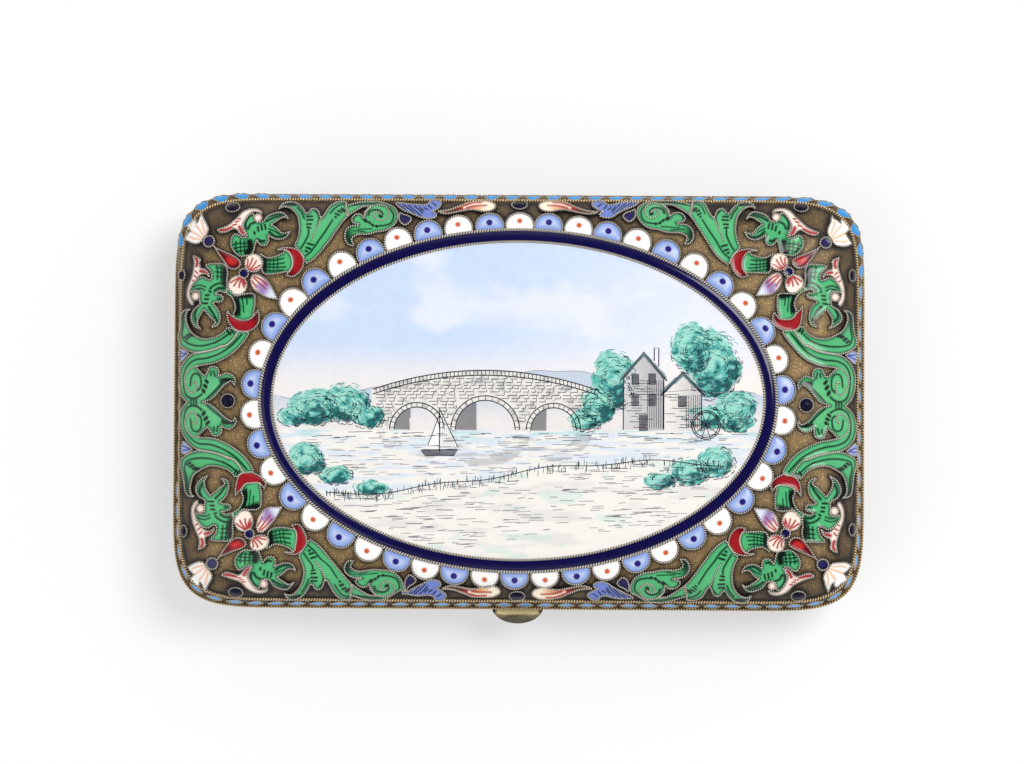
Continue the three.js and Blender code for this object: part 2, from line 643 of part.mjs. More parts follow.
// Inner rim on three sides, open where the hinge bearers lie
function bezel() {
  const section = [
    [BEZEL_INSET, -BEZEL_RISE], [BEZEL_INSET + BEZEL_THICKNESS, -BEZEL_RISE],
    [BEZEL_INSET + BEZEL_THICKNESS, BEZEL_FOOT], [BEZEL_INSET, BEZEL_FOOT],
  ];
  const inner = HINGE_Y - KNUCKLE_RADIUS - BARREL_CLEARANCE - BEARER_LIP - SLIDE_GAP;
  const half = HINGE_HALF + PLUG_HEAD + 2 * SLIDE_GAP;
  const room = block(-half, half, inner - BEZEL_THICKNESS, HALF_WIDTH, 0, PARTING + BEYOND);
  return cut(aroundCase(BASE, section), [room, rivetHole(-1), rivetHole(1)]);
}

const STEM_TOP = PARTING - BEZEL_FOOT - SLIDE_GAP;
const STEM_BOTTOM = STEM_TOP - STEM_THICKNESS;
const HORN_START = BEZEL_INNER_Y + SLIDE_GAP;
const HORN_END = HORN_START + HORN_LENGTH;
const SPRING_BACK = HORN_END + SEAT_GAP;
const SPRING_LOW = PARTING - BEZEL_FOOT + SEAT_GAP;
const NOSE_TOP = PARTING - KEEPER_DROP + NOSE_THICKNESS;
const KEEPER_OUTER = BEZEL_INNER_Y + 3 * SLIDE_GAP;
const KEEPER_INNER = KEEPER_OUTER + KEEPER_THICKNESS;
const NOSE_TIP = KEEPER_INNER + NOSE_LENGTH;

// Push piece: dished half moon outside, stem under the inner rim, two horns behind it
function thumbPiece() {
  const top = PARTING - THUMB_DROP;
  const middle = -HALF_WIDTH + THUMB_BODY - SLIDE_GAP;
  const reach = THUMB_REACH + THUMB_BODY - SLIDE_GAP;
  const bulge = new THREE.SphereGeometry(1, ...BULGE_FACES).rotateX(Math.PI / 2);
  bulge.scale(THUMB_HALF_WIDTH, reach, THUMB_DEPTH).translate(0, middle, top);
  const wide = 3 * THUMB_HALF_WIDTH;
  const front = block(-wide, wide, -HALF_WIDTH - BEYOND, -HALF_WIDTH + THUMB_BODY, 0, top);
  const curve = (THUMB_HALF_WIDTH ** 2 + THUMB_DISH ** 2) / (2 * THUMB_DISH);
  const dish = new THREE.SphereGeometry(curve, ...DISH_FACES);
  dish.translate(0, middle - reach / 2, top + curve - THUMB_DISH);
  const head = solidFrom(bulge).intersect(front).subtract(solidFrom(dish));
  const stem = block(-HORN_OUTER, HORN_OUTER, middle - reach / 2, HORN_END, STEM_BOTTOM, STEM_TOP);
  const horns = [-1, 1].map((sign) => {
    const [x0, x1] = sign > 0 ? [HORN_INNER, HORN_OUTER] : [-HORN_OUTER, -HORN_INNER];
    return block(x0, x1, HORN_START, HORN_END, STEM_BOTTOM, PARTING - HORN_TOP);
  });
  return joined([head, stem, ...horns]);
}

function keeper() {
  const top = KEEPER_FOOT_TOP;
  const low = top - KEEPER_FOOT_HEIGHT;
  const wallY = (height) => -HALF_WIDTH + innerInset(height) + SEAT_GAP;
  const section = [
    [KEEPER_OUTER, -KEEPER_DROP], [NOSE_TIP, -KEEPER_DROP], [NOSE_TIP, NOSE_THICKNESS - KEEPER_DROP],
    [KEEPER_INNER, NOSE_THICKNESS - KEEPER_DROP], [KEEPER_INNER, top], [wallY(top), top],
    [wallY(low), low], [KEEPER_OUTER, low - KEEPER_THICKNESS],
  ].map(([y, h]) => [y, PARTING + h]);
  return barAlongX(section, -CATCH_HALF_WIDTH, CATCH_HALF_WIDTH);
}

function rivetAxis(sign) {
  return [sign * (SPRING_HALF_LENGTH - SPRING_FOOT / 2), SPRING_LOW + SPRING_HEIGHT / 2];
}

function barAlongY(x, z, radius, y0, y1) {
  const geometry = new THREE.CylinderGeometry(radius, radius, y1 - y0, ROUND_SIDES);
  return solidFrom(geometry.translate(x, (y0 + y1) / 2, z));
}

function rivetHole(sign) {
  const [x, z] = rivetAxis(sign);
  return barAlongY(x, z, RIVET_RADIUS + RIVET_HOLE_GAP, BEZEL_OUTER_Y - SEAT_GAP / 2, SPRING_BACK + PAST);
}

function rivet(sign) {
  const [x, z] = rivetAxis(sign);
  const head = BEZEL_INNER_Y + SEAT_GAP + SPRING_THICKNESS + SEAT_GAP / 2;
  const shank = barAlongY(x, z, RIVET_RADIUS, BEZEL_OUTER_Y, head + RIVET_HEAD);
  return shank.add(barAlongY(x, z, RIVET_HEAD_RADIUS, head, head + RIVET_HEAD));
}

// Bow spring riveted to the inner rim at both ends, its middle bearing the catch hook
function catchSpring() {
  const seat = BEZEL_INNER_Y + SEAT_GAP;
  const [end, foot, ramp] = [SPRING_HALF_LENGTH, SPRING_HALF_LENGTH - SPRING_FOOT, SPRING_RAMP];
  const near = [[-end, seat], [-foot, seat], [ramp - foot, SPRING_BACK], [foot - ramp, SPRING_BACK],
    [foot, seat], [end, seat]];
  const far = near.map(([x, y]) => [x, y + SPRING_THICKNESS]).reverse();
  const strip = prism([...near, ...far], SPRING_LOW, SPRING_LOW + SPRING_HEIGHT);
  const nose = NOSE_TIP - NOSE_ENGAGEMENT;
  const under = NOSE_TOP + SLIDE_GAP;
  const hook = block(-CATCH_HALF_WIDTH, CATCH_HALF_WIDTH, nose, SPRING_BACK + SPRING_THICKNESS,
    under, PARTING - HOOK_TOP);
  const web = block(-CATCH_HALF_WIDTH, CATCH_HALF_WIDTH, SPRING_BACK, SPRING_BACK + SPRING_THICKNESS,
    SPRING_LOW, PARTING - HOOK_TOP);
  return cut(joined([strip, web, hook]), [rivetHole(-1), rivetHole(1)]);
}

// A domed bead, from its section as shares of its half width and height
const BEAD_SECTION = [[0, -1], [1, -1], [1, 0.35], [0.72, 0.8], [0, 1]];
function bead({ at, half }) {
  const [[x, y], [halfLength, halfWidth]] = placed([at, half], 1, 1);
  const profile = BEAD_SECTION.map(([r, h]) => new THREE.Vector2(r, h));
  const lathe = new THREE.LatheGeometry(profile, ROUND_SIDES).rotateX(Math.PI / 2);
  lathe.scale(halfLength, halfWidth, BEAD_HEIGHT).translate(x, y, PARTING + faceAt(x, y).height);
  return solidFrom(lathe).subtract(domeOnce(LID, SEAT_GAP)).intersect(faceRoom());
}

// A curl that narrows from its start, turns in quarter circles
function curlOutline({ at, start, turn, radius, width }) {
  const arc = (extra) => Array.from({ length: CURL_STEPS }, (_, i) => {
    const t = i / (CURL_STEPS - 1);
    const angle = (Math.PI / 2) * (start + turn * t);
    const r = radius * (1 - CURL_CLOSING * t) + extra * (1 - CURL_TAPER * t);
    return [at[0] + r * Math.cos(angle), at[1] + r * Math.sin(angle)];
  });
  return [...arc(width / 2), ...arc(-width / 2).reverse()];
}

// Back scroll: a pair of curls from a leafy stem in one corner
function backScroll(sx, sy) {
  const outlines = [...BACK_CURLS.map(curlOutline), BACK_LEAF];
  const spray = joined(outlines.map((points) => upright(BASE, placed(points, sx, sy))));
  return bodiesOf(laidOn(BASE, spray, BACK_SCROLL_THICKNESS))[0];
}

const QUADRANTS = [['ne', 1, 1], ['nw', -1, 1], ['sw', -1, -1], ['se', 1, -1]];
const part = new THREE.Group();
const lid = new THREE.Group();
const base = new THREE.Group();
const push = new THREE.Group();
part.add(lid, base, push);

// Lid metalwork
lid.add(piece('lid_shell', shell(LID), 'giltGround'));
lid.add(piece('lid_hinge_bearer', bearer(LID), 'gilt'));
lid.add(piece('lid_keeper', keeper(), 'gilt'));
lid.add(piece('lid_rim_rope', bodiesOf(rimRope(LID))[0], 'gilt'));
lid.add(piece('lid_face_rope', faceRope(LID), 'gilt'));
lid.add(piece('lid_side_band', sideBand(LID), 'turquoise'));

// Picture and its frame, from the outside in
const NAVY_MARGIN = OVAL_ROPE_RADIUS + NEIGHBOUR_GAP;
const ring = (margin) => ovalPoints(OVAL_A - margin, OVAL_B - margin, OVAL_STEPS);
const lidRope = (margin) => ovalRope(LID, OVAL_A - margin, OVAL_B - margin, OVAL_ROPE_RADIUS);
lid.add(piece('plaque_outer_rope', lidRope(0), 'silver'));
lid.add(piece('plaque_inner_rope', lidRope(FRAME_WIDTH), 'silver'));
const navyRing = upright(LID, ring(NAVY_MARGIN), ring(FRAME_WIDTH - NAVY_MARGIN));
lid.add(piece('plaque_navy_band', laidOn(LID, navyRing, NAVY_THICKNESS), 'navy'));
const picture = upright(LID, ring(FRAME_WIDTH + NAVY_MARGIN));
lid.add(piece('picture_plaque', laidOn(LID, picture, PLAQUE_THICKNESS), 'picture'));

// Scallops, whose feet run on as one strip beside the rope
const scallopHole = ring(-OVAL_ROPE_RADIUS - NEIGHBOUR_GAP);
const scallops = upright(LID, scallopOutline(0), scallopHole);
lid.add(piece('scallop_border', laidOn(LID, scallops, SCALLOP_THICKNESS), 'white'));
const scallopRoom = upright(LID, scallopOutline(NEIGHBOUR_GAP));

// Scrollwork, each motif cut back from the ones laid before it
for (const [corner, sx, sy] of QUADRANTS) {
  const share = quadrant(sx, sy);
  const within = (solid, before) => {
    const trimmed = cut(solid.intersect(share), [scallopRoom, ...before]);
    return bodiesOf(laidOn(LID, trimmed, SCROLL_THICKNESS))[0];
  };
  const flower = (margin) => motif(FLOWER_PETALS, [FLOWER_BEAD, ...FLOWER_BALLS], sx, sy, margin);
  const tulip = (margin) => motif([TULIP], [TULIP_BEAD], sx, sy, margin);
  const long = (margin) => motif(LONG_CELLS, [], sx, sy, margin);
  const end = motif(END_CELLS, [], sx, sy, 0);
  const room = [flower, tulip, long].map((make) => make(NEIGHBOUR_GAP));
  lid.add(piece(`flower_${corner}`, within(flower(0), []), 'coral'));
  lid.add(piece(`tulip_${corner}`, within(tulip(0), room.slice(0, 1)), 'white'));
  lid.add(piece(`scroll_long_${corner}`, within(long(0), room.slice(0, 2)), 'green'));
  lid.add(piece(`scroll_end_${corner}`, within(end, room), 'green'));
}

// Single beads at the middle of each side
for (const one of BEADS) lid.add(piece(one.name, bead(one), 'navy'));

// Base metalwork
base.add(piece('base_shell', shell(BASE).subtract(thumbOpening()), 'giltGround'));
base.add(piece('base_hinge_bearer', bearer(BASE), 'gilt'));
base.add(piece('base_bezel', bezel(), 'gilt'));
base.add(piece('base_face_rope', faceRope(BASE), 'gilt'));
base.add(piece('base_side_band', sideBand(BASE).subtract(thumbOpening()), 'turquoise'));
const rimRuns = bodiesOf(rimRope(BASE).subtract(thumbOpening())).slice(0, 2);
rimRuns.sort((a, b) => a.boundingBox().max[0] - b.boundingBox().max[0]);
base.add(piece('base_rim_rope_left', rimRuns[0], 'gilt'));
base.add(piece('base_rim_rope_right', rimRuns[1], 'gilt'));

// Back of the case: flat oval plate to rest on, its rope and four scroll sprays
const plate = prism(ovalPoints(BACK_PLATE_HALF_LENGTH, BACK_PLATE_HALF_WIDTH, OVAL_STEPS), 0, PARTING);
base.add(piece('back_oval_plate', plate.subtract(domeOnce(BASE, SEAT_GAP)), 'gilt'));
const backRope = [BACK_PLATE_HALF_LENGTH, BACK_PLATE_HALF_WIDTH].map((half) => half + BACK_ROPE_MARGIN);
base.add(piece('back_oval_rope', ovalRope(BASE, backRope[0], backRope[1], OVAL_ROPE_RADIUS), 'silver'));
for (const [corner, sx, sy] of QUADRANTS) {
  base.add(piece(`back_scroll_${corner}`, backScroll(sx, sy), 'green'));
}

// Hinge: base knuckles at the even places, lid knuckles between them
for (let i = 0; i < KNUCKLES; i += 1) {
  const owner = i % 2 ? lid : base;
  owner.add(piece(`${i % 2 ? 'lid' : 'base'}_knuckle_${i + 1}`, knuckle(i), 'gilt'));
}
base.add(piece('hinge_pin', hingePin(), 'spring'));
base.add(piece('hinge_plug_left', hingePlug(-1), 'gilt'));
base.add(piece('hinge_plug_right', hingePlug(1), 'gilt'));

// Catch
push.add(piece('thumb_piece', thumbPiece(), 'gilt'));
base.add(piece('catch_spring', catchSpring(), 'spring'));
base.add(piece('catch_rivet_left', rivet(-1), 'gilt'));
base.add(piece('catch_rivet_right', rivet(1), 'gilt'));

export default part;
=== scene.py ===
"""Looks of an enamelled cigarette case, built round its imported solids.

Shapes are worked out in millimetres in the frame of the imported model, and
become metres when a mesh is made. X runs along the case, the push piece faces
-Y, the hinge is at +Y and the lid is up.
"""

import logging
import math
from dataclasses import dataclass, field
from enum import Enum

import bpy
import numpy as np
from mathutils import Matrix, Vector
from mathutils.geometry import delaunay_2d_cdt
from mathutils.kdtree import KDTree


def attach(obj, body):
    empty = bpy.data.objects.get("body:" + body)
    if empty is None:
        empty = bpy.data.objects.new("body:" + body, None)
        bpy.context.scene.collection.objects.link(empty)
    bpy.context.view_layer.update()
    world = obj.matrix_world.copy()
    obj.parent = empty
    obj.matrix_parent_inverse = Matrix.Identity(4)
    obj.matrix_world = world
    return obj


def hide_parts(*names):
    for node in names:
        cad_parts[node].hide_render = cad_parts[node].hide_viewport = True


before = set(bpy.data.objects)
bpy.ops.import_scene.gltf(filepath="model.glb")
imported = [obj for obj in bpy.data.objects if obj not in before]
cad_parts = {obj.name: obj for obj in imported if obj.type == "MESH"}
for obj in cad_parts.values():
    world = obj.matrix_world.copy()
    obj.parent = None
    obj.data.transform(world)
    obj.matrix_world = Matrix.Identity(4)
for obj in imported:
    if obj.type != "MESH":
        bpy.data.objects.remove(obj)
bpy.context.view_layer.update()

LOG = logging.getLogger("case")
MM = 0.001
# Raised pieces start this far under the face, so that no gap shows below them
ROOT = -0.05
Array = np.ndarray
Piece = bpy.types.Object
Material = bpy.types.Material


def linear(colour: tuple[int, int, int]) -> Array:
    """An 8-bit display colour in linear light."""
    share = np.array(colour) / 255
    return np.where(share <= 0.04045, share / 12.92, ((share + 0.055) / 1.055) ** 2.4)


class Slot(Enum):
    """Material slots of the record."""

    GROUND = "gilt_ground"
    GILT = "gilt_plain"
    WIRE = "gilt_wire"
    SILVER = "silver_wire"
    GREEN = "green_enamel"
    TURQUOISE = "turquoise_enamel"
    NAVY = "navy_enamel"
    WHITE = "white_enamel"
    CORAL = "coral_enamel"
    PICTURE = "picture_enamel"


class Side(Enum):
    """The two halves of the case."""

    LID = 1
    BASE = -1

    @property
    def body(self) -> str:
        """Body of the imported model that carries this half."""
        return "lid" if self is Side.LID else "base"


class Tint(Enum):
    """Paints and enamels, as 8-bit display colours."""

    GREEN = (80, 182, 118)
    PALE_GREEN = (94, 190, 126)
    DEEP_GREEN = (8, 52, 34)
    BLACK_GREEN = (8, 22, 18)
    RED = (160, 26, 34)
    DARK_RED = (88, 10, 20)
    ORANGE = (200, 48, 44)
    PINK = (255, 236, 222)
    ROSE = (170, 40, 46)
    LILAC = (158, 134, 190)
    ICE = (226, 232, 246)
    FEATHER = (112, 132, 206)
    PALE_BLUE = (152, 176, 230)
    INDIGO = (40, 26, 122)
    NAVY = (20, 13, 84)
    BLACK_NAVY = (8, 6, 34)
    WHITE = (254, 253, 251)
    DOT_ORANGE = (210, 92, 48)
    PEACH = (244, 176, 122)
    IVORY = (255, 243, 220)
    BAND_BLUE = (36, 140, 214)
    PALE_TURQUOISE = (78, 176, 232)
    SKY = (205, 222, 248)
    HAZE = (240, 241, 251)
    WARM = (250, 240, 230)
    CREAM = (244, 240, 234)
    STONE = (218, 216, 216)
    STONE_SHADE = (142, 142, 150)
    LEAF = (98, 186, 176)
    LEAF_LIGHT = (160, 222, 206)
    LEAF_DARK = (38, 104, 106)
    HILL = (188, 204, 224)
    ROOF = (120, 150, 158)
    WATER = (222, 230, 240)
    INK = (48, 48, 60)

    @property
    def linear(self) -> Array:
        """The colour in linear light."""
        return linear(self.value)

    def over(self, points: Array) -> Array:
        """The colour in linear light, once for each of some points."""
        return np.tile(self.linear, (len(points), 1))


def blend(first: Array, second: Array, share: Array) -> Array:
    """Mixes two sets of colours by a share per point.

    Args:
        first: Colours at share 0, one per point.
        second: A colour, or one per point, at share 1.
        share: One number per point.

    Returns:
        One colour per point.
    """
    part = np.clip(share, 0, 1)[:, None]
    return first * (1 - part) + second * part


def rise(low: float, high: float, value: Array) -> Array:
    """Smooth step from 0 at low to 1 at high."""
    share = np.clip((value - low) / (high - low), 0, 1)
    return share * share * (3 - 2 * share)


def unit(rows: Array) -> Array:
    """Each row as a direction of length 1."""
    return rows / np.maximum(np.linalg.norm(rows, axis=1), 1e-9)[:, None]


def run_along(line: Array) -> Array:
    """Length of a line up to each of its points."""
    return np.concatenate([[0], np.cumsum(np.linalg.norm(np.diff(line, axis=0), axis=1))])


def values_of(items: bpy.types.bpy_prop_collection, name: str) -> Array:
    """Reads a place from each point or face of a mesh.

    Args:
        items: The mesh's vertices or polygons.
        name: Which of their values it is.

    Returns:
        One row of three numbers per item.
    """
    flat = np.zeros(len(items) * 3)
    items.foreach_get(name, flat)
    return flat.reshape(-1, 3)


def noise(x: Array, y: Array, size: float, seed: int, layers: int = 3) -> Array:
    """Cloudy value noise from 0 to 1.

    Args:
        x: Plan places along X.
        y: Plan places along Y.
        size: Width of the largest blots in millimetres.
        seed: Start of the draw.
        layers: How many finer layers are added.

    Returns:
        One value per place.
    """
    lattice = np.random.default_rng(seed).random((64, 64))
    total, weight, sum_weights = 0.0, 1.0, 0.0
    for layer in range(layers):
        u, v = x / size * 2**layer + 31.7 * layer, y / size * 2**layer + 17.3 * layer
        i, j = np.floor(u).astype(int), np.floor(v).astype(int)
        a, b = rise(0, 1, u - i), rise(0, 1, v - j)
        corner = [lattice[(i + p) % 64, (j + q) % 64] for p in (0, 1) for q in (0, 1)]
        low = corner[0] * (1 - b) + corner[1] * b
        high = corner[2] * (1 - b) + corner[3] * b
        total = total + weight * (low * (1 - a) + high * a)
        sum_weights += weight
        weight *= 0.5
    return total / sum_weights


@dataclass(frozen=True)
class CaseForm:
    """Outline and section that both halves share, in millimetres."""

    half_length: float = 54.0
    half_width: float = 32.5
    corner: float = 20.0
    power: float = 4.8
    foot_inset: float = 0.45
    foot_height: float = 0.35
    lean: float = 1.25
    side_rise: float = 4.4
    cushion_start: float = 4.7
    cushion_rise: float = 5.0
    softness: float = 2.9
    soft_start: float = 1.5
    wall: float = 0.8
    parting: float = 10.338
    parting_gap: float = 0.05
    hinge_y: float = 31.55

    def inset(self, x: Array, y: Array) -> Array:
        """Distance of plan points inside the outline, ring by ring.

        Args:
            x: Plan places along X.
            y: Plan places along Y.

        Returns:
            One distance per place.
        """
        a = np.maximum(self.corner - self.half_length + np.abs(x), 0)
        b = np.maximum(self.corner - self.half_width + np.abs(y), 0)
        return self.corner - (a**self.power + b**self.power) ** (1 / self.power)

    def cushion(self, inset: Array) -> Array:
        """Height of the cushioned face above the parting plane."""
        reach = (np.maximum(inset, self.soft_start) - self.soft_start) / self.softness
        return self.cushion_start + self.cushion_rise * (1 - np.exp(-reach))

    def face(self, x: Array, y: Array) -> Array:
        """Height of the face above the parting plane at plan points."""
        return self.cushion(self.inset(x, y))

    def slope(self, x: Array, y: Array) -> Array:
        """Rise of the face along X and Y at plan points, stacked last.

        Args:
            x: Plan places along X.
            y: Plan places along Y.

        Returns:
            Two slopes per place.
        """
        step = 0.02
        along = (self.face(x + step, y) - self.face(x - step, y)) / (2 * step)
        across = (self.face(x, y + step) - self.face(x, y - step)) / (2 * step)
        return np.stack([along, across], -1)

    def lay(self, side: Side, plan: Array, lift: Array | float) -> Array:
        """Places plan points on a half's face.

        Args:
            side: The half that they lie on.
            plan: Plan points, one row each.
            lift: Distance off the face, square to it.

        Returns:
            Points in space.
        """
        x, y = plan[:, 0], plan[:, 1]
        steep = np.hypot(1, np.linalg.norm(self.slope(x, y), axis=-1))
        height = self.face(x, y) + lift * steep
        return np.column_stack([x, y, self.parting + side.value * height])

    def upward(self, side: Side, plan: Array) -> Array:
        """Directions square to a half's face at plan points.

        Args:
            side: The half.
            plan: Plan points, one row each.

        Returns:
            One direction per point.
        """
        slope = self.slope(plan[:, 0], plan[:, 1])
        normal = np.column_stack([-slope, np.ones(len(plan))])
        normal = unit(normal)
        normal[:, 2] *= side.value
        return normal

    def ring(self, inset: float, steps: int = 14) -> Array:
        """Plan points of the ring at an inset, anticlockwise.

        Args:
            inset: Distance inside the outline.
            steps: Steps in each corner.

        Returns:
            Its plan points.
        """
        reach = self.corner - inset
        points = []
        for sx, sy in ((1, 1), (-1, 1), (-1, -1), (1, -1)):
            for i in range(steps + 1):
                s = (2 * i / steps - 1) * sx * sy
                angle = math.pi / 4 * (1 + s * (0.5 + 0.5 * s * s))
                c, k = math.cos(angle), math.sin(angle)
                r = reach / (c**self.power + k**self.power) ** (1 / self.power)
                x = self.half_length - self.corner + r * c
                y = self.half_width - self.corner + r * k
                points.append((sx * x, sy * y))
        return np.array(points)

    def filled_ring(self, inset: float, steps: int = 44, step: float = 0.5) -> Array:
        """The same ring with its straight runs divided.

        Args:
            inset: Distance inside the outline.
            steps: Steps in each corner.
            step: Step of the straight runs.

        Returns:
            Its plan points.
        """
        corners = self.ring(inset, steps).reshape(4, steps + 1, 2)
        parts = []
        for corner, after, half in zip(corners, np.roll(corners, -1, axis=0), (self.half_length, self.half_width) * 2):
            count = round(2 * (half - self.corner) / step)
            share = np.arange(1, count)[:, None] / count
            parts.append(np.vstack([corner, corner[-1] + (after[0] - corner[-1]) * share]))
        return np.vstack(parts)

    def profile(self, insets: tuple[float, ...]) -> Array:
        """Section of one half as rows of inset and height, foot to middle.

        Args:
            insets: Insets of its rows on the cushion.

        Returns:
            Rows of inset and height.
        """
        cushion = [(inset, float(self.cushion(np.array(inset)))) for inset in insets]
        cushion[0] = (self.foot_inset + self.lean, self.foot_height + self.side_rise)
        return np.array([(self.foot_inset, 0.0), (self.foot_inset, self.foot_height), *cushion])


FORM = CaseForm()
COARSE_INSETS = (1.7, 1.95, 2.25, 2.6, 3.0, 3.6, 4.4, 5.4, 6.8, 8.6, 11.0, 14.5, 19.3)
FINE_INSETS = (*COARSE_INSETS[:5], *(3.45 + 0.453 * step for step in range(35)), 19.3)


def moved_out(profile: Array, distance: float) -> Array:
    """The section moved along its own normals.

    Args:
        profile: Rows of inset and height.
        distance: How far out, or in below 0.

    Returns:
        The moved rows.
    """
    steps = unit(np.diff(profile, axis=0))
    normal = np.column_stack([-steps[:, 1], steps[:, 0]])
    before, after = np.vstack([normal[:1], normal]), np.vstack([normal, normal[-1:]])
    total = before + after
    share = 2 * distance / (total**2).sum(1)
    return profile + total * share[:, None]


def resampled(path: Array, count: int, closed: bool) -> Array:
    """A path of points drawn again with even steps.

    Args:
        path: Points in plan or space.
        count: How many points come out.
        closed: Whether the last point joins the first.

    Returns:
        The new points.
    """
    line = np.vstack([path, path[:1]]) if closed else path
    run = run_along(line)
    at = np.linspace(0, run[-1], count, endpoint=not closed)
    return np.column_stack([np.interp(at, run, line[:, k]) for k in range(line.shape[1])])


def length_of(path: Array, closed: bool) -> float:
    """Length of a path of points."""
    line = np.vstack([path, path[:1]]) if closed else path
    return float(np.linalg.norm(np.diff(line, axis=0), axis=1).sum())


def drawn(text: str, closed: bool = True, step: float = 0.16) -> Array:
    """A smooth line through points written as 'x y, x y'; a star marks a sharp one.

    Args:
        text: The points in millimetres.
        closed: Whether the last point joins the first.
        step: Longest step of the line that comes out.

    Returns:
        Plan points.
    """
    marks = [word.strip() for word in text.split(",")]
    sharp = [word.endswith("*") for word in marks]
    points = np.array([[float(v) for v in word.rstrip("*").split()] for word in marks])
    count = len(points)
    spans = count if closed else count - 1
    line = []
    for i in range(spans):
        j = (i + 1) % count
        before, after = points[i - 1], points[(j + 1) % count]
        start, end = points[i], points[j]
        size = np.linalg.norm(end - start)
        lone = not closed
        into = end - start if sharp[i] or (lone and i == 0) else end - before
        out = end - start if sharp[j] or (lone and j == count - 1) else after - start
        into = into / max(np.linalg.norm(into), 1e-9) * size
        out = out / max(np.linalg.norm(out), 1e-9) * size
        for t in np.arange(0, 1, 1 / max(2, math.ceil(size / step))):
            line.append(
                (2 * t**3 - 3 * t**2 + 1) * start + (t**3 - 2 * t**2 + t) * into
                + (3 * t**2 - 2 * t**3) * end + (t**3 - t**2) * out
            )
    if not closed:
        line.append(points[-1])
    return np.array(line)


def circle(x: float, y: float, a: float, b: float | None = None, steps: int = 40) -> Array:
    """Plan points of a circle, or of an oval where b is given."""
    angle = np.linspace(0, 2 * math.pi, steps, endpoint=False)
    return np.column_stack([x + a * np.cos(angle), y + (b or a) * np.sin(angle)])


def gap_to(points: Array, line: Array, closed: bool) -> Array:
    """Distance of each point from a line.

    Args:
        points: Points in plan.
        line: The line.
        closed: Whether it runs round to its start.

    Returns:
        One distance per point.
    """
    starts = line if closed else line[:-1]
    ends = np.roll(line, -1, axis=0) if closed else line[1:]
    run = ends - starts
    size = np.maximum((run**2).sum(1), 1e-12)
    best = np.full(len(points), np.inf)
    for s, r, q in zip(starts, run, size):
        t = np.clip(((points - s) @ r) / q, 0, 1)
        away = points - s - t[:, None] * r
        best = np.minimum(best, (away**2).sum(1))
    return np.sqrt(best)


def inside(points: Array, outline: Array) -> Array:
    """Whether each point lies inside a closed outline.

    Args:
        points: Points in plan.
        outline: The outline.

    Returns:
        True for each point inside.
    """
    x, y = points[:, 0], points[:, 1]
    found = np.zeros(len(points), bool)
    for (x0, y0), (x1, y1) in zip(outline, np.roll(outline, -1, axis=0)):
        if y0 == y1:
            continue
        crosses = (y0 > y) != (y1 > y)
        found ^= crosses & (x < (x1 - x0) * (y - y0) / (y1 - y0) + x0)
    return found


class Sheet:
    """A mesh gathered from blocks of points and faces, with painted values."""

    def __init__(self) -> None:
        """Starts empty."""
        self.points: list[Array] = []
        self.faces: list[Array] = []
        self.paint: list[Array] = []
        self.groove: list[Array] = []
        self.count = 0

    def add(
        self, points: Array, faces: list[Array], paint: Array | None = None, groove: Array | None = None
    ) -> None:
        """Adds one block.

        Args:
            points: Points in millimetres.
            faces: Arrays of corner numbers, one array per kind of face.
            paint: Linear colour per point.
            groove: Value from 0 to 1 per point, 1 deep in a groove; the finish paints shade by it.
        """
        count = len(points)
        self.points.append(points)
        self.faces += [block + self.count for block in faces]
        self.paint.append(np.zeros((count, 3)) if paint is None else paint)
        self.groove.append(np.zeros(count) if groove is None else groove)
        self.count += count

    def piece(self, name: str) -> Piece:
        """Makes the object, with its place in its mesh.

        Args:
            name: Its name.

        Returns:
            The object.
        """
        mesh = bpy.data.meshes.new(name)
        points = np.vstack(self.points) * MM
        mesh.vertices.add(len(points))
        mesh.vertices.foreach_set("co", points.astype(np.float32).ravel())
        sizes = np.concatenate([np.full(len(block), block.shape[1]) for block in self.faces])
        corners = np.concatenate([block.ravel() for block in self.faces])
        mesh.loops.add(len(corners))
        mesh.loops.foreach_set("vertex_index", corners.astype(np.int32))
        mesh.polygons.add(len(sizes))
        starts = np.concatenate([[0], np.cumsum(sizes)[:-1]])
        mesh.polygons.foreach_set("loop_start", starts.astype(np.int32))
        mesh.update(calc_edges=True)
        mesh.validate()
        colour = mesh.attributes.new("paint", "FLOAT_COLOR", "POINT")
        paint = np.column_stack([np.vstack(self.paint), np.ones(len(points))])
        colour.data.foreach_set("color", paint.astype(np.float32).ravel())
        groove = mesh.attributes.new("groove", "FLOAT", "POINT")
        groove.data.foreach_set("value", np.concatenate(self.groove).astype(np.float32))
        mesh.polygons.foreach_set("use_smooth", np.ones(len(sizes), bool))
        made = bpy.data.objects.new(name, mesh)
        bpy.context.scene.collection.objects.link(made)
        return made


def grid_faces(rows: int, columns: int, loop_rows: bool, loop_columns: bool) -> Array:
    """Four-cornered faces over a grid of points numbered row by row.

    Args:
        rows: Rows of points.
        columns: Points in a row.
        loop_rows: Whether the last row joins the first.
        loop_columns: Whether each row is closed.

    Returns:
        Four corner numbers per face.
    """
    i = np.arange(rows if loop_rows else rows - 1)[:, None]
    j = np.arange(columns if loop_columns else columns - 1)[None, :]
    k, m = (i + 1) % rows, (j + 1) % columns
    corners = [i * columns + j, k * columns + j, k * columns + m, i * columns + m]
    return np.stack([np.broadcast_to(c, (len(i), j.shape[1])) for c in corners], -1).reshape(-1, 4)


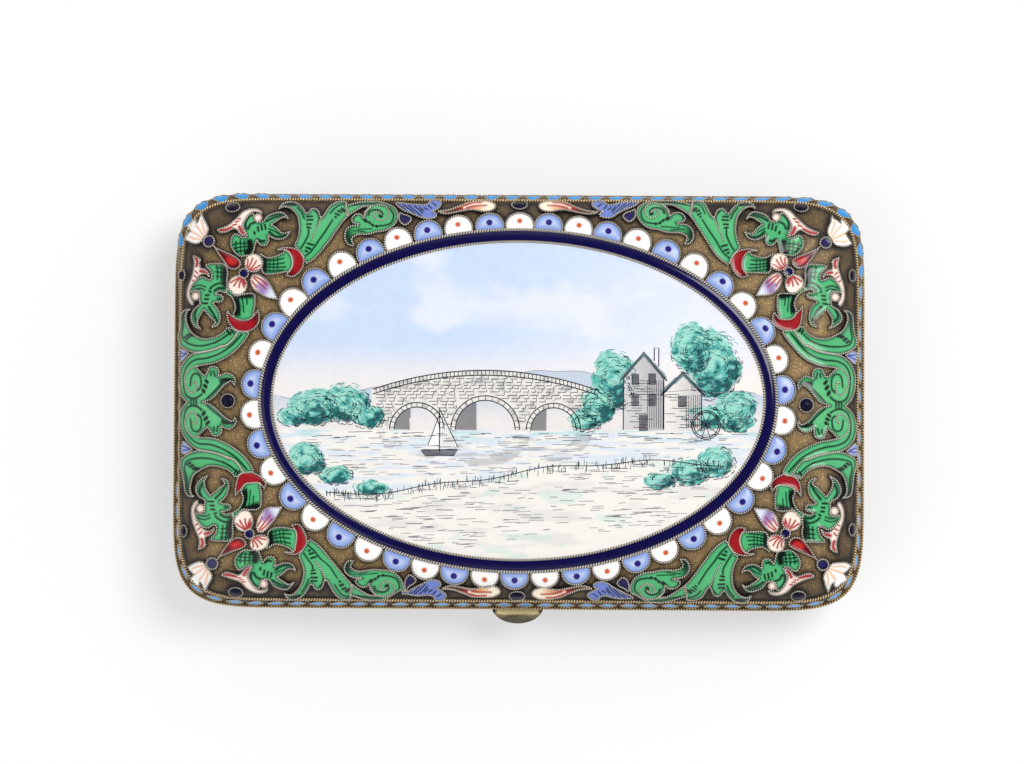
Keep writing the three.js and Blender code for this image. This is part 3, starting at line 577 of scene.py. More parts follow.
@dataclass(frozen=True)
class TwistedWire:
    """Two wires twisted together and laid along a path, in millimetres."""

    radius: float
    pitch: float
    tall: float = 1.0
    sides: int = 8
    steps: int = 4
    waist: float = 0.42

    def lay(self, sheet: Sheet, path: Array, up: Array, closed: bool) -> None:
        """Adds the wire to a sheet.

        Args:
            sheet: Where it goes.
            path: Points of its middle line.
            up: Direction away from the ground at each point.
            closed: Whether the wire runs round to its start.
        """
        lobes = max(2, round(length_of(path, closed) / self.pitch))
        count = lobes * self.steps + (0 if closed else 1)
        both = resampled(np.column_stack([path, up]), count, closed)
        middle, top = both[:, :3], both[:, 3:]
        ahead = np.roll(middle, -1, axis=0) - np.roll(middle, 1, axis=0)
        if not closed:
            ahead[0], ahead[-1] = middle[1] - middle[0], middle[-1] - middle[-2]
        ahead = unit(ahead)
        across = unit(np.cross(ahead, top))
        top = np.cross(across, ahead)
        turn = np.arange(count)[:, None] * math.pi / self.steps
        around = np.linspace(0, 2 * math.pi, self.sides, endpoint=False)[None, :]
        groove = np.sin(around / 2 - turn) ** 2
        size = self.radius * (1 - self.waist * groove)
        points = (
            middle[:, None] + across[:, None] * (size * np.cos(around))[..., None]
            + top[:, None] * (size * np.sin(around) * self.tall)[..., None]
        )
        faces = [grid_faces(count, self.sides, closed, True)]
        if not closed:
            last = np.arange(self.sides)[None, :]
            faces += [last, last[:, ::-1] + (count - 1) * self.sides]
        # The groove value also paints shade: the wire's finish turns dark deep in the grooves of the twist
        sheet.add(points.reshape(-1, 3), faces, groove=rise(0.3, 0.72, groove).ravel())


FINE_WIRE = TwistedWire(radius=0.155, pitch=0.38, tall=1.45, waist=0.5)
COLLAR_WIRE = TwistedWire(radius=0.12, pitch=0.34, tall=1.5, waist=0.5)
FRAME_WIRE = TwistedWire(radius=0.28, pitch=0.42, waist=0.5)
INNER_WIRE = TwistedWire(radius=0.24, pitch=0.42, waist=0.5)
BORDER_WIRE = TwistedWire(radius=0.27, pitch=0.42, waist=0.5)
RIM_WIRE = TwistedWire(radius=0.28, pitch=0.44, sides=6, waist=0.45)
BAND_WIRE = TwistedWire(radius=0.11, pitch=0.34, sides=5, steps=3, tall=1.4)


@dataclass(frozen=True)
class Metal:
    """A metal finish: its colour, its darker tone, which also paints shade in the hollows, and its grain."""

    name: str
    bright: tuple[int, int, int]
    dark: tuple[int, int, int]
    roughness: float
    metallic: float = 1.0
    # How strongly the mesh's groove values paint shade
    groove: float = 0.0
    patina: float = 0.3
    grain: float = 0.0
    grain_size: float = 0.3

    def material(self) -> Material:
        """The node material of this finish, made once.

        Returns:
            The material.
        """
        found = bpy.data.materials.get(self.name)
        if found:
            return found
        nodes = Nodes(bpy.data.materials.new(self.name))
        place = nodes.place()
        patina = nodes.clouds(place, 2.4, 5)
        share = nodes.scaled(patina, self.patina)
        # Painted shade: the dark tone comes in where the mesh's groove values are high
        if self.groove:
            share = nodes.sum(share, nodes.scaled(nodes.attribute("groove"), self.groove))
        if self.grain:
            marks = nodes.cells(place, self.grain_size)
            nodes.into("Normal", nodes.bump(marks, 0.8, 0.04))
            tone = nodes.mix(rgba(self.bright), rgba(self.dark), share)
            nodes.into("Base Color", nodes.mix(tone, nodes.shaded(tone, 0.3), nodes.scaled(marks, self.grain)))
        else:
            nodes.into("Normal", nodes.bump(nodes.clouds(place, 0.5, 3), 0.25, 0.01))
            nodes.into("Base Color", nodes.mix(rgba(self.bright), rgba(self.dark), share))
        nodes.into("Roughness", nodes.between(patina, self.roughness - 0.06, self.roughness + 0.1))
        nodes.shader.inputs["Metallic"].default_value = self.metallic
        return nodes.made


@dataclass(frozen=True)
class Enamel:
    """A fired enamel, painted by the piece's own colours or of one colour."""

    name: str
    colour: tuple[int, int, int] | None = None
    deep: tuple[int, int, int] | None = None
    roughness: float = 0.14
    shine: float = 0.3

    def material(self) -> Material:
        """The node material of this finish, made once.

        Returns:
            The material.
        """
        found = bpy.data.materials.get(self.name)
        if found:
            return found
        nodes = Nodes(bpy.data.materials.new(self.name))
        place = nodes.place()
        blots = nodes.clouds(place, 1.1, 4)
        if self.colour is None:
            painted = nodes.attribute("paint", colour=True)
            nodes.into("Base Color", nodes.mix(painted, nodes.shaded(painted, 0.88), blots))
        else:
            nodes.into("Base Color", nodes.mix(rgba(self.colour), rgba(self.deep or self.colour), blots))
        nodes.into("Roughness", nodes.between(blots, self.roughness, self.roughness + 0.08))
        nodes.into("Normal", nodes.bump(nodes.clouds(place, 0.7, 2), 0.12, 0.02))
        nodes.shader.inputs["Specular IOR Level"].default_value = self.shine
        return nodes.made


def rgba(colour: tuple[int, int, int]) -> tuple[float, float, float, float]:
    """An 8-bit display colour as linear values with full cover."""
    return (*[float(v) for v in linear(colour)], 1.0)


class Nodes:
    """The nodes of a material or world in the making."""

    def __init__(self, made: Material | bpy.types.World, shader: str = "Principled BSDF") -> None:
        """Starts from the plain shader.

        Args:
            made: A new material or world.
            shader: Name of the shader that it starts with.
        """
        self.made = made
        self.made.use_nodes = True
        self.tree = self.made.node_tree
        self.shader = self.tree.nodes[shader]

    def node(self, kind: str) -> bpy.types.Node:
        """Adds a node."""
        return self.tree.nodes.new(kind)

    def feed(self, socket: bpy.types.NodeSocket, value: object) -> None:
        """Joins a value to a socket, or writes a constant on it.

        Args:
            socket: An input.
            value: Another node's output, or a constant.
        """
        if isinstance(value, bpy.types.NodeSocket):
            self.tree.links.new(value, socket)
        else:
            socket.default_value = value

    def into(self, name: str, value: bpy.types.NodeSocket) -> None:
        """Joins a value to one of the shader's inputs."""
        self.feed(self.shader.inputs[name], value)

    def place(self) -> bpy.types.NodeSocket:
        """The point's place on the object."""
        return self.node("ShaderNodeTexCoord").outputs["Object"]

    def clouds(self, place: bpy.types.NodeSocket, size: float, detail: float) -> bpy.types.NodeSocket:
        """Soft noise whose blots have a size in millimetres.

        Args:
            place: The point's place.
            size: Size of the blots.
            detail: How many finer layers.

        Returns:
            The node's output.
        """
        made = self.node("ShaderNodeTexNoise")
        self.feed(made.inputs["Vector"], place)
        made.inputs["Scale"].default_value = 1 / (size * MM)
        made.inputs["Detail"].default_value = detail
        return made.outputs["Fac"]

    def cells(self, place: bpy.types.NodeSocket, size: float) -> bpy.types.NodeSocket:
        """Round punch marks of a size in millimetres, 0 in their middles.

        Args:
            place: The point's place.
            size: Size of the marks.

        Returns:
            The node's output.
        """
        made = self.node("ShaderNodeTexVoronoi")
        self.feed(made.inputs["Vector"], place)
        made.inputs["Scale"].default_value = 1 / (size * MM)
        return made.outputs["Distance"]

    def attribute(self, name: str, colour: bool = False) -> bpy.types.NodeSocket:
        """A value or colour that the mesh carries.

        Args:
            name: Its name on the mesh.
            colour: Whether it is a colour.

        Returns:
            The node's output.
        """
        made = self.node("ShaderNodeAttribute")
        made.attribute_name = name
        return made.outputs["Color" if colour else "Fac"]

    def math(self, kind: str, first: object, second: object) -> bpy.types.NodeSocket:
        """Two values worked out by a math node.

        Args:
            kind: Blender's name of the sum.
            first: A value or output.
            second: A value or output.

        Returns:
            The node's output.
        """
        made = self.node("ShaderNodeMath")
        made.operation = kind
        self.feed(made.inputs[0], first)
        self.feed(made.inputs[1], second)
        return made.outputs[0]

    def scaled(self, value: bpy.types.NodeSocket, factor: float) -> bpy.types.NodeSocket:
        """A value times a number."""
        return self.math("MULTIPLY", value, factor)

    def sum(self, first: bpy.types.NodeSocket, second: bpy.types.NodeSocket) -> bpy.types.NodeSocket:
        """Two values added."""
        return self.math("ADD", first, second)

    def between(self, share: bpy.types.NodeSocket, low: float, high: float) -> bpy.types.NodeSocket:
        """A share from 0 to 1 spread over a range.

        Args:
            share: The share.
            low: Value at share 0.
            high: Value at share 1.

        Returns:
            The node's output.
        """
        made = self.node("ShaderNodeMapRange")
        self.feed(made.inputs["Value"], share)
        made.inputs["To Min"].default_value = low
        made.inputs["To Max"].default_value = high
        return made.outputs["Result"]

    def mix(self, first: object, second: object, share: bpy.types.NodeSocket) -> bpy.types.NodeSocket:
        """Two colours mixed by a share.

        Args:
            first: Colour at share 0.
            second: Colour at share 1.
            share: The share.

        Returns:
            The node's output.
        """
        made = self.node("ShaderNodeMix")
        made.data_type = "RGBA"
        self.feed(made.inputs["Factor"], share)
        self.feed(made.inputs[6], first)
        self.feed(made.inputs[7], second)
        return made.outputs[2]

    def shaded(self, colour: bpy.types.NodeSocket, value: float) -> bpy.types.NodeSocket:
        """A colour made darker.

        Args:
            colour: The colour.
            value: How much of its brightness stays.

        Returns:
            The node's output.
        """
        made = self.node("ShaderNodeHueSaturation")
        made.inputs["Value"].default_value = value
        self.feed(made.inputs["Color"], colour)
        return made.outputs["Color"]

    def bump(self, height: bpy.types.NodeSocket, strength: float, depth: float) -> bpy.types.NodeSocket:
        """A normal from heights, with a depth in millimetres.

        Args:
            height: The heights.
            strength: How strongly they show.
            depth: Their depth.

        Returns:
            The node's output.
        """
        made = self.node("ShaderNodeBump")
        self.feed(made.inputs["Height"], height)
        made.inputs["Strength"].default_value = strength
        made.inputs["Distance"].default_value = depth * MM
        return made.outputs["Normal"]


# The groove shares below set how much painted shade the ground, the wires and the push piece take from their groove
# values
GROUND = Metal("gilt_stippled", (252, 208, 138), (54, 40, 32), 0.5, 0.38, groove=0.85, patina=0.4,
               grain=2.7, grain_size=0.36)
GILT = Metal("gilt_polished", (200, 166, 110), (150, 116, 70), 0.3, 0.8)
DARK_GILT = Metal("gilt_darkened", (122, 98, 68), (44, 34, 26), 0.4, 0.7, patina=0.9)
SHADED_WORN_GILT = Metal("gilt_worn_and_shaded", (255, 236, 176), (50, 42, 38), 0.4, 0.15, groove=1.0, patina=0.1)
GILT_WIRE = Metal("gilt_twisted", (228, 198, 146), (30, 20, 13), 0.36, 0.45, groove=1.0, patina=0.12)
SILVER_WIRE = Metal("silver_twisted", (212, 204, 190), (24, 19, 16), 0.36, 0.4, groove=1.0, patina=0.12)
STEEL = Metal("spring_steel", (176, 180, 186), (120, 124, 130), 0.3)
PAINTED = Enamel("enamel_painted")
PLAQUE = Enamel("enamel_plaque", roughness=0.16)
NAVY = Enamel("enamel_navy", (17, 12, 80), (10, 7, 48), 0.08)
BEAD = Enamel("enamel_bead", (12, 9, 46), (7, 5, 26), 0.3, 0.12)
INK = Enamel("enamel_ink", roughness=0.3)


def dressed(piece: Piece, finish: Metal | Enamel, body: str, replaces: tuple[str, ...] = ()) -> Piece:
    """Gives a piece its finish and its place in the frame.

    Args:
        piece: The finished mesh.
        finish: What it is made of.
        body: Body that it rides on.
        replaces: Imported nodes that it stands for.

    Returns:
        The same piece.
    """
    piece.data.materials.clear()
    piece.data.materials.append(finish.material())
    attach(piece, body)
    if replaces:
        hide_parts(*replaces)
    return piece


class Bench:
    """Blender's own tools, used on one piece at a time."""

    @staticmethod
    def clear() -> None:
        """Leaves nothing selected."""
        bpy.ops.object.select_all(action="DESELECT")

    @staticmethod
    def take(piece: Piece) -> None:
        """Selects one piece alone.

        Args:
            piece: The piece.
        """
        Bench.clear()
        piece.select_set(True)
        bpy.context.view_layer.objects.active = piece

    @staticmethod
    def settle(piece: Piece, name: str) -> Piece:
        """Names a new piece and puts its place into its mesh.

        Args:
            piece: The piece.
            name: Its new name.

        Returns:
            The same piece.
        """
        Bench.take(piece)
        bpy.ops.object.transform_apply(location=True, rotation=True, scale=True)
        piece.name = name
        piece.data.name = name
        return piece

    @staticmethod
    def smooth(piece: Piece, angle: float) -> None:
        """Shades a piece smooth but for edges sharper than an angle in degrees."""
        Bench.take(piece)
        bpy.ops.object.shade_smooth_by_angle(angle=math.radians(angle))

    @staticmethod
    def outward(piece: Piece) -> None:
        """Turns all faces of a closed piece outwards.

        Args:
            piece: The piece.
        """
        Bench.take(piece)
        bpy.ops.object.mode_set(mode="EDIT")
        bpy.ops.mesh.select_all(action="SELECT")
        bpy.ops.mesh.normals_make_consistent(inside=False)
        bpy.ops.object.mode_set(mode="OBJECT")

    @staticmethod
    def softened(piece: Piece, width: float, segments: int = 2, angle: float = 35) -> Piece:
        """Rounds the sharp edges of a piece and shades it smooth.

        Args:
            piece: The piece.
            width: Width of the round in millimetres.
            segments: Faces across the round.
            angle: Edges sharper than this many degrees are rounded.

        Returns:
            The same piece.
        """
        Bench.take(piece)
        bevel = piece.modifiers.new("round", "BEVEL")
        bevel.width = width * MM
        bevel.segments = segments
        bevel.limit_method = "ANGLE"
        bevel.angle_limit = math.radians(angle)
        bpy.ops.object.modifier_apply(modifier=bevel.name)
        bpy.ops.object.shade_smooth_by_angle(angle=math.radians(angle))
        return piece

    @staticmethod
    def bar(name: str, low: tuple[float, float, float], high: tuple[float, float, float]) -> Piece:
        """A block between two corners in millimetres.

        Args:
            name: Its name.
            low: Its lowest corner.
            high: Its highest corner.

        Returns:
            The block.
        """
        Bench.clear()
        middle = [(a + b) / 2 * MM for a, b in zip(low, high)]
        bpy.ops.mesh.primitive_cube_add(size=1, location=middle)
        made = bpy.context.object
        made.scale = [(b - a) * MM for a, b in zip(low, high)]
        return Bench.settle(made, name)

    @staticmethod
    def rod(name: str, start: Vector, end: Vector, radius: float, sides: int = 32) -> Piece:
        """A round rod between two points in millimetres.

        Args:
            name: Its name.
            start: Middle of one end.
            end: Middle of the other end.
            radius: Its radius.
            sides: Faces round it.

        Returns:
            The rod.
        """
        Bench.clear()
        run = end - start
        turn = run.to_track_quat("Z", "Y").to_euler()
        bpy.ops.mesh.primitive_cylinder_add(
            vertices=sides, radius=radius * MM, depth=run.length * MM,
            location=(start + end) / 2 * MM, rotation=turn,
        )
        return Bench.settle(bpy.context.object, name)

    @staticmethod
    def cut(piece: Piece, cutter: Piece, kind: str = "DIFFERENCE") -> Piece:
        """Cuts a piece by another, which is used up.

        Args:
            piece: What is cut.
            cutter: What cuts it.
            kind: Blender's name of the cut.

        Returns:
            The same piece.
        """
        Bench.take(piece)
        made = piece.modifiers.new("cut", "BOOLEAN")
        made.operation = kind
        made.solver = "EXACT"
        made.object = cutter
        bpy.ops.object.modifier_apply(modifier=made.name)
        mesh = cutter.data
        bpy.data.objects.remove(cutter)
        bpy.data.meshes.remove(mesh)
        return piece

    @staticmethod
    def hoop(name: str, rings: Array) -> Piece:
        """A ring-shaped primitive drawn to a grid of points, closed both ways.

        Args:
            name: Its name.
            rings: Points in millimetres, ring by ring.

        Returns:
            The piece.
        """
        Bench.clear()
        count, sides = rings.shape[:2]
        bpy.ops.mesh.primitive_torus_add(major_segments=count, minor_segments=sides)
        made = Bench.settle(bpy.context.object, name)
        made.data.vertices.foreach_set("co", (rings.reshape(-1, 3) * MM).astype(np.float32).ravel())
        made.data.update()
        Bench.outward(made)
        return made


@dataclass(frozen=True)
class Brush:
    """Painted marks: a width, a tint, a softness and the paths."""

    width: float
    tint: Tint
    paths: tuple[str, ...]
    soft: float = 0.12


@dataclass(frozen=True)
class Wash:
    """A tint that comes in along a line from one plan point to another."""

    tint: Tint
    start: tuple[float, float]
    end: tuple[float, float]


@dataclass(frozen=True)
class Cell:
    """One enamel cell of the drawn quadrant."""

    outline: str | tuple[float, ...]
    tint: Tint
    edge: Tint = Tint.DEEP_GREEN
    edge_width: float = 0.4
    edge_share: float = 0.8
    washes: tuple[Wash, ...] = ()
    brushes: tuple[Brush, ...] = ()

    def line(self) -> Array:
        """The cell's outline in plan.

        Returns:
            Plan points.
        """
        if isinstance(self.outline, str):
            return drawn(self.outline)
        return circle(*self.outline)

    def painted(self, points: Array, gap: Array) -> Array:
        """Colours of plan points at given distances from the wire.

        Args:
            points: Plan points.
            gap: Their distances from the wire.

        Returns:
            Linear colours.
        """
        colour = self.tint.over(points)
        for wash in self.washes:
            start, run = np.array(wash.start), np.subtract(wash.end, wash.start)
            share = ((points - start) @ run) / (run @ run)
            colour = blend(colour, wash.tint.linear, rise(0, 1, share))
        edge = self.edge_share * (1 - rise(0.1, self.edge_width + 0.12, gap))
        colour = blend(colour, self.edge.linear, edge)
        for brush in self.brushes:
            for path in brush.paths:
                away = gap_to(points, drawn(path, closed=False, step=0.3), False)
                half = brush.width / 2
                share = 1 - rise(half - brush.soft / 2, half + brush.soft, away)
                colour = blend(colour, brush.tint.linear, share)
        return colour


@dataclass(frozen=True)
class Motif:
    """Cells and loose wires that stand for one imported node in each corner."""

    name: str
    node: str
    slot: Slot
    cells: tuple[Cell, ...]
    wires: tuple[str, ...] = ()


def ink(width: float, *paths: str, tint: Tint = Tint.DEEP_GREEN, soft: float = 0.12) -> Brush:
    """A brush with its paths written one by one."""
    return Brush(width, tint, paths, soft)


FLOWER = Motif("flower", "flower", Slot.CORAL, (
    Cell((42.4, 19.35, 0.72), Tint.NAVY, Tint.BLACK_NAVY),
    Cell((40.9, 20.95, 1.36), Tint.PINK, Tint.PINK, brushes=(
        ink(0.2, "41.9 20.0, 41.3 21.0, 41.1 21.7", "41.7 19.9, 40.9 20.6, 40.5 21.3",
            "41.6 19.8, 40.6 20.2, 39.9 20.6", "42.0 20.2, 41.8 21.0, 41.8 21.5",
            "41.5 19.7, 40.5 19.8, 40.0 20.0", tint=Tint.ROSE),)),
    Cell((43.3, 17.5, 1.42), Tint.PINK, Tint.PINK, brushes=(
        ink(0.22, "42.7 18.6, 43.0 17.8, 43.1 17.2", "42.9 18.7, 43.6 17.9, 43.9 17.4",
            "42.5 18.5, 42.5 17.7, 42.3 17.2", "43.1 18.7, 44.0 18.2, 44.4 17.9", tint=Tint.ROSE),
        ink(0.7, "42.4 18.3, 42.2 17.9", tint=Tint.ROSE, soft=0.4),)),
    Cell("46.9 23.3*, 45.6 22.75, 44.3 22.15, 43.3 21.5, 42.95 20.9, 43.3 20.25, 44.0 20.0, 44.8 20.3,"
         " 45.4 21.1, 46.2 22.2", Tint.RED, Tint.DARK_RED, 0.25, 0.6, brushes=(
             ink(0.7, "43.6 20.5, 44.4 20.4", tint=Tint.DARK_RED, soft=0.5),
             ink(0.5, "46.3 22.8, 45.4 22.0", tint=Tint.DARK_RED, soft=0.5),
             # Painted highlight: a soft orange spot inside the red drop
             ink(0.45, "44.6 21.4, 44.1 21.0", tint=Tint.ORANGE, soft=0.5),)),
    Cell("41.3 18.3, 40.95 19.05, 40.15 19.1, 38.9 18.3, 38.1 17.25, 37.1 15.4*, 38.6 15.65, 39.9 16.3, 40.9 17.1",
         Tint.PINK, Tint.ROSE, 0.15, 0.2,
         washes=(Wash(Tint.LILAC, (40.6, 18.0), (39.3, 17.2)), Wash(Tint.ICE, (39.2, 17.0), (38.0, 16.2))),
         brushes=(ink(0.2, "40.9 18.7, 39.9 17.8, 39.0 17.0", "40.7 18.9, 39.6 18.3, 38.8 17.6",
                      "41.1 18.2, 40.4 17.2", tint=Tint.ROSE),
                  ink(0.3, "40.3 17.5, 39.4 16.9", tint=Tint.LILAC, soft=0.3))),
), wires=("46.9 23.3, 47.2 23.7",))

TULIP = Motif("tulip", "tulip", Slot.WHITE, (
    Cell((47.95, 24.35, 0.86), Tint.NAVY, Tint.BLACK_NAVY),
    Cell("49.55 28.9*, 49.1 28.05, 48.55 27.1, 48.2 26.4, 48.35 25.6, 48.9 24.9, 49.3 24.3, 50.1 24.1, 51.1 24.4,"
         " 52.2 25.0*, 51.6 25.7, 51.05 26.1*, 51.35 26.45, 51.75 26.85, 51.7 27.3, 51.3 27.5*, 51.0 27.9, 50.7 28.1,"
         " 50.35 27.8, 50.3 27.3*, 49.95 27.5, 49.75 28.1",
         Tint.WHITE, Tint.WHITE, washes=(Wash(Tint.PEACH, (49.3, 25.4), (48.4, 24.9)),),
         brushes=(ink(0.12, "48.9 25.3, 49.6 26.2, 50.3 27.0", "49.2 25.0, 50.2 25.6, 51.0 26.1",
                      "48.7 25.8, 49.1 26.8, 49.4 27.8", "49.5 24.7, 50.6 24.9, 51.4 25.3",
                      tint=Tint.PEACH, soft=0.25),)),
))

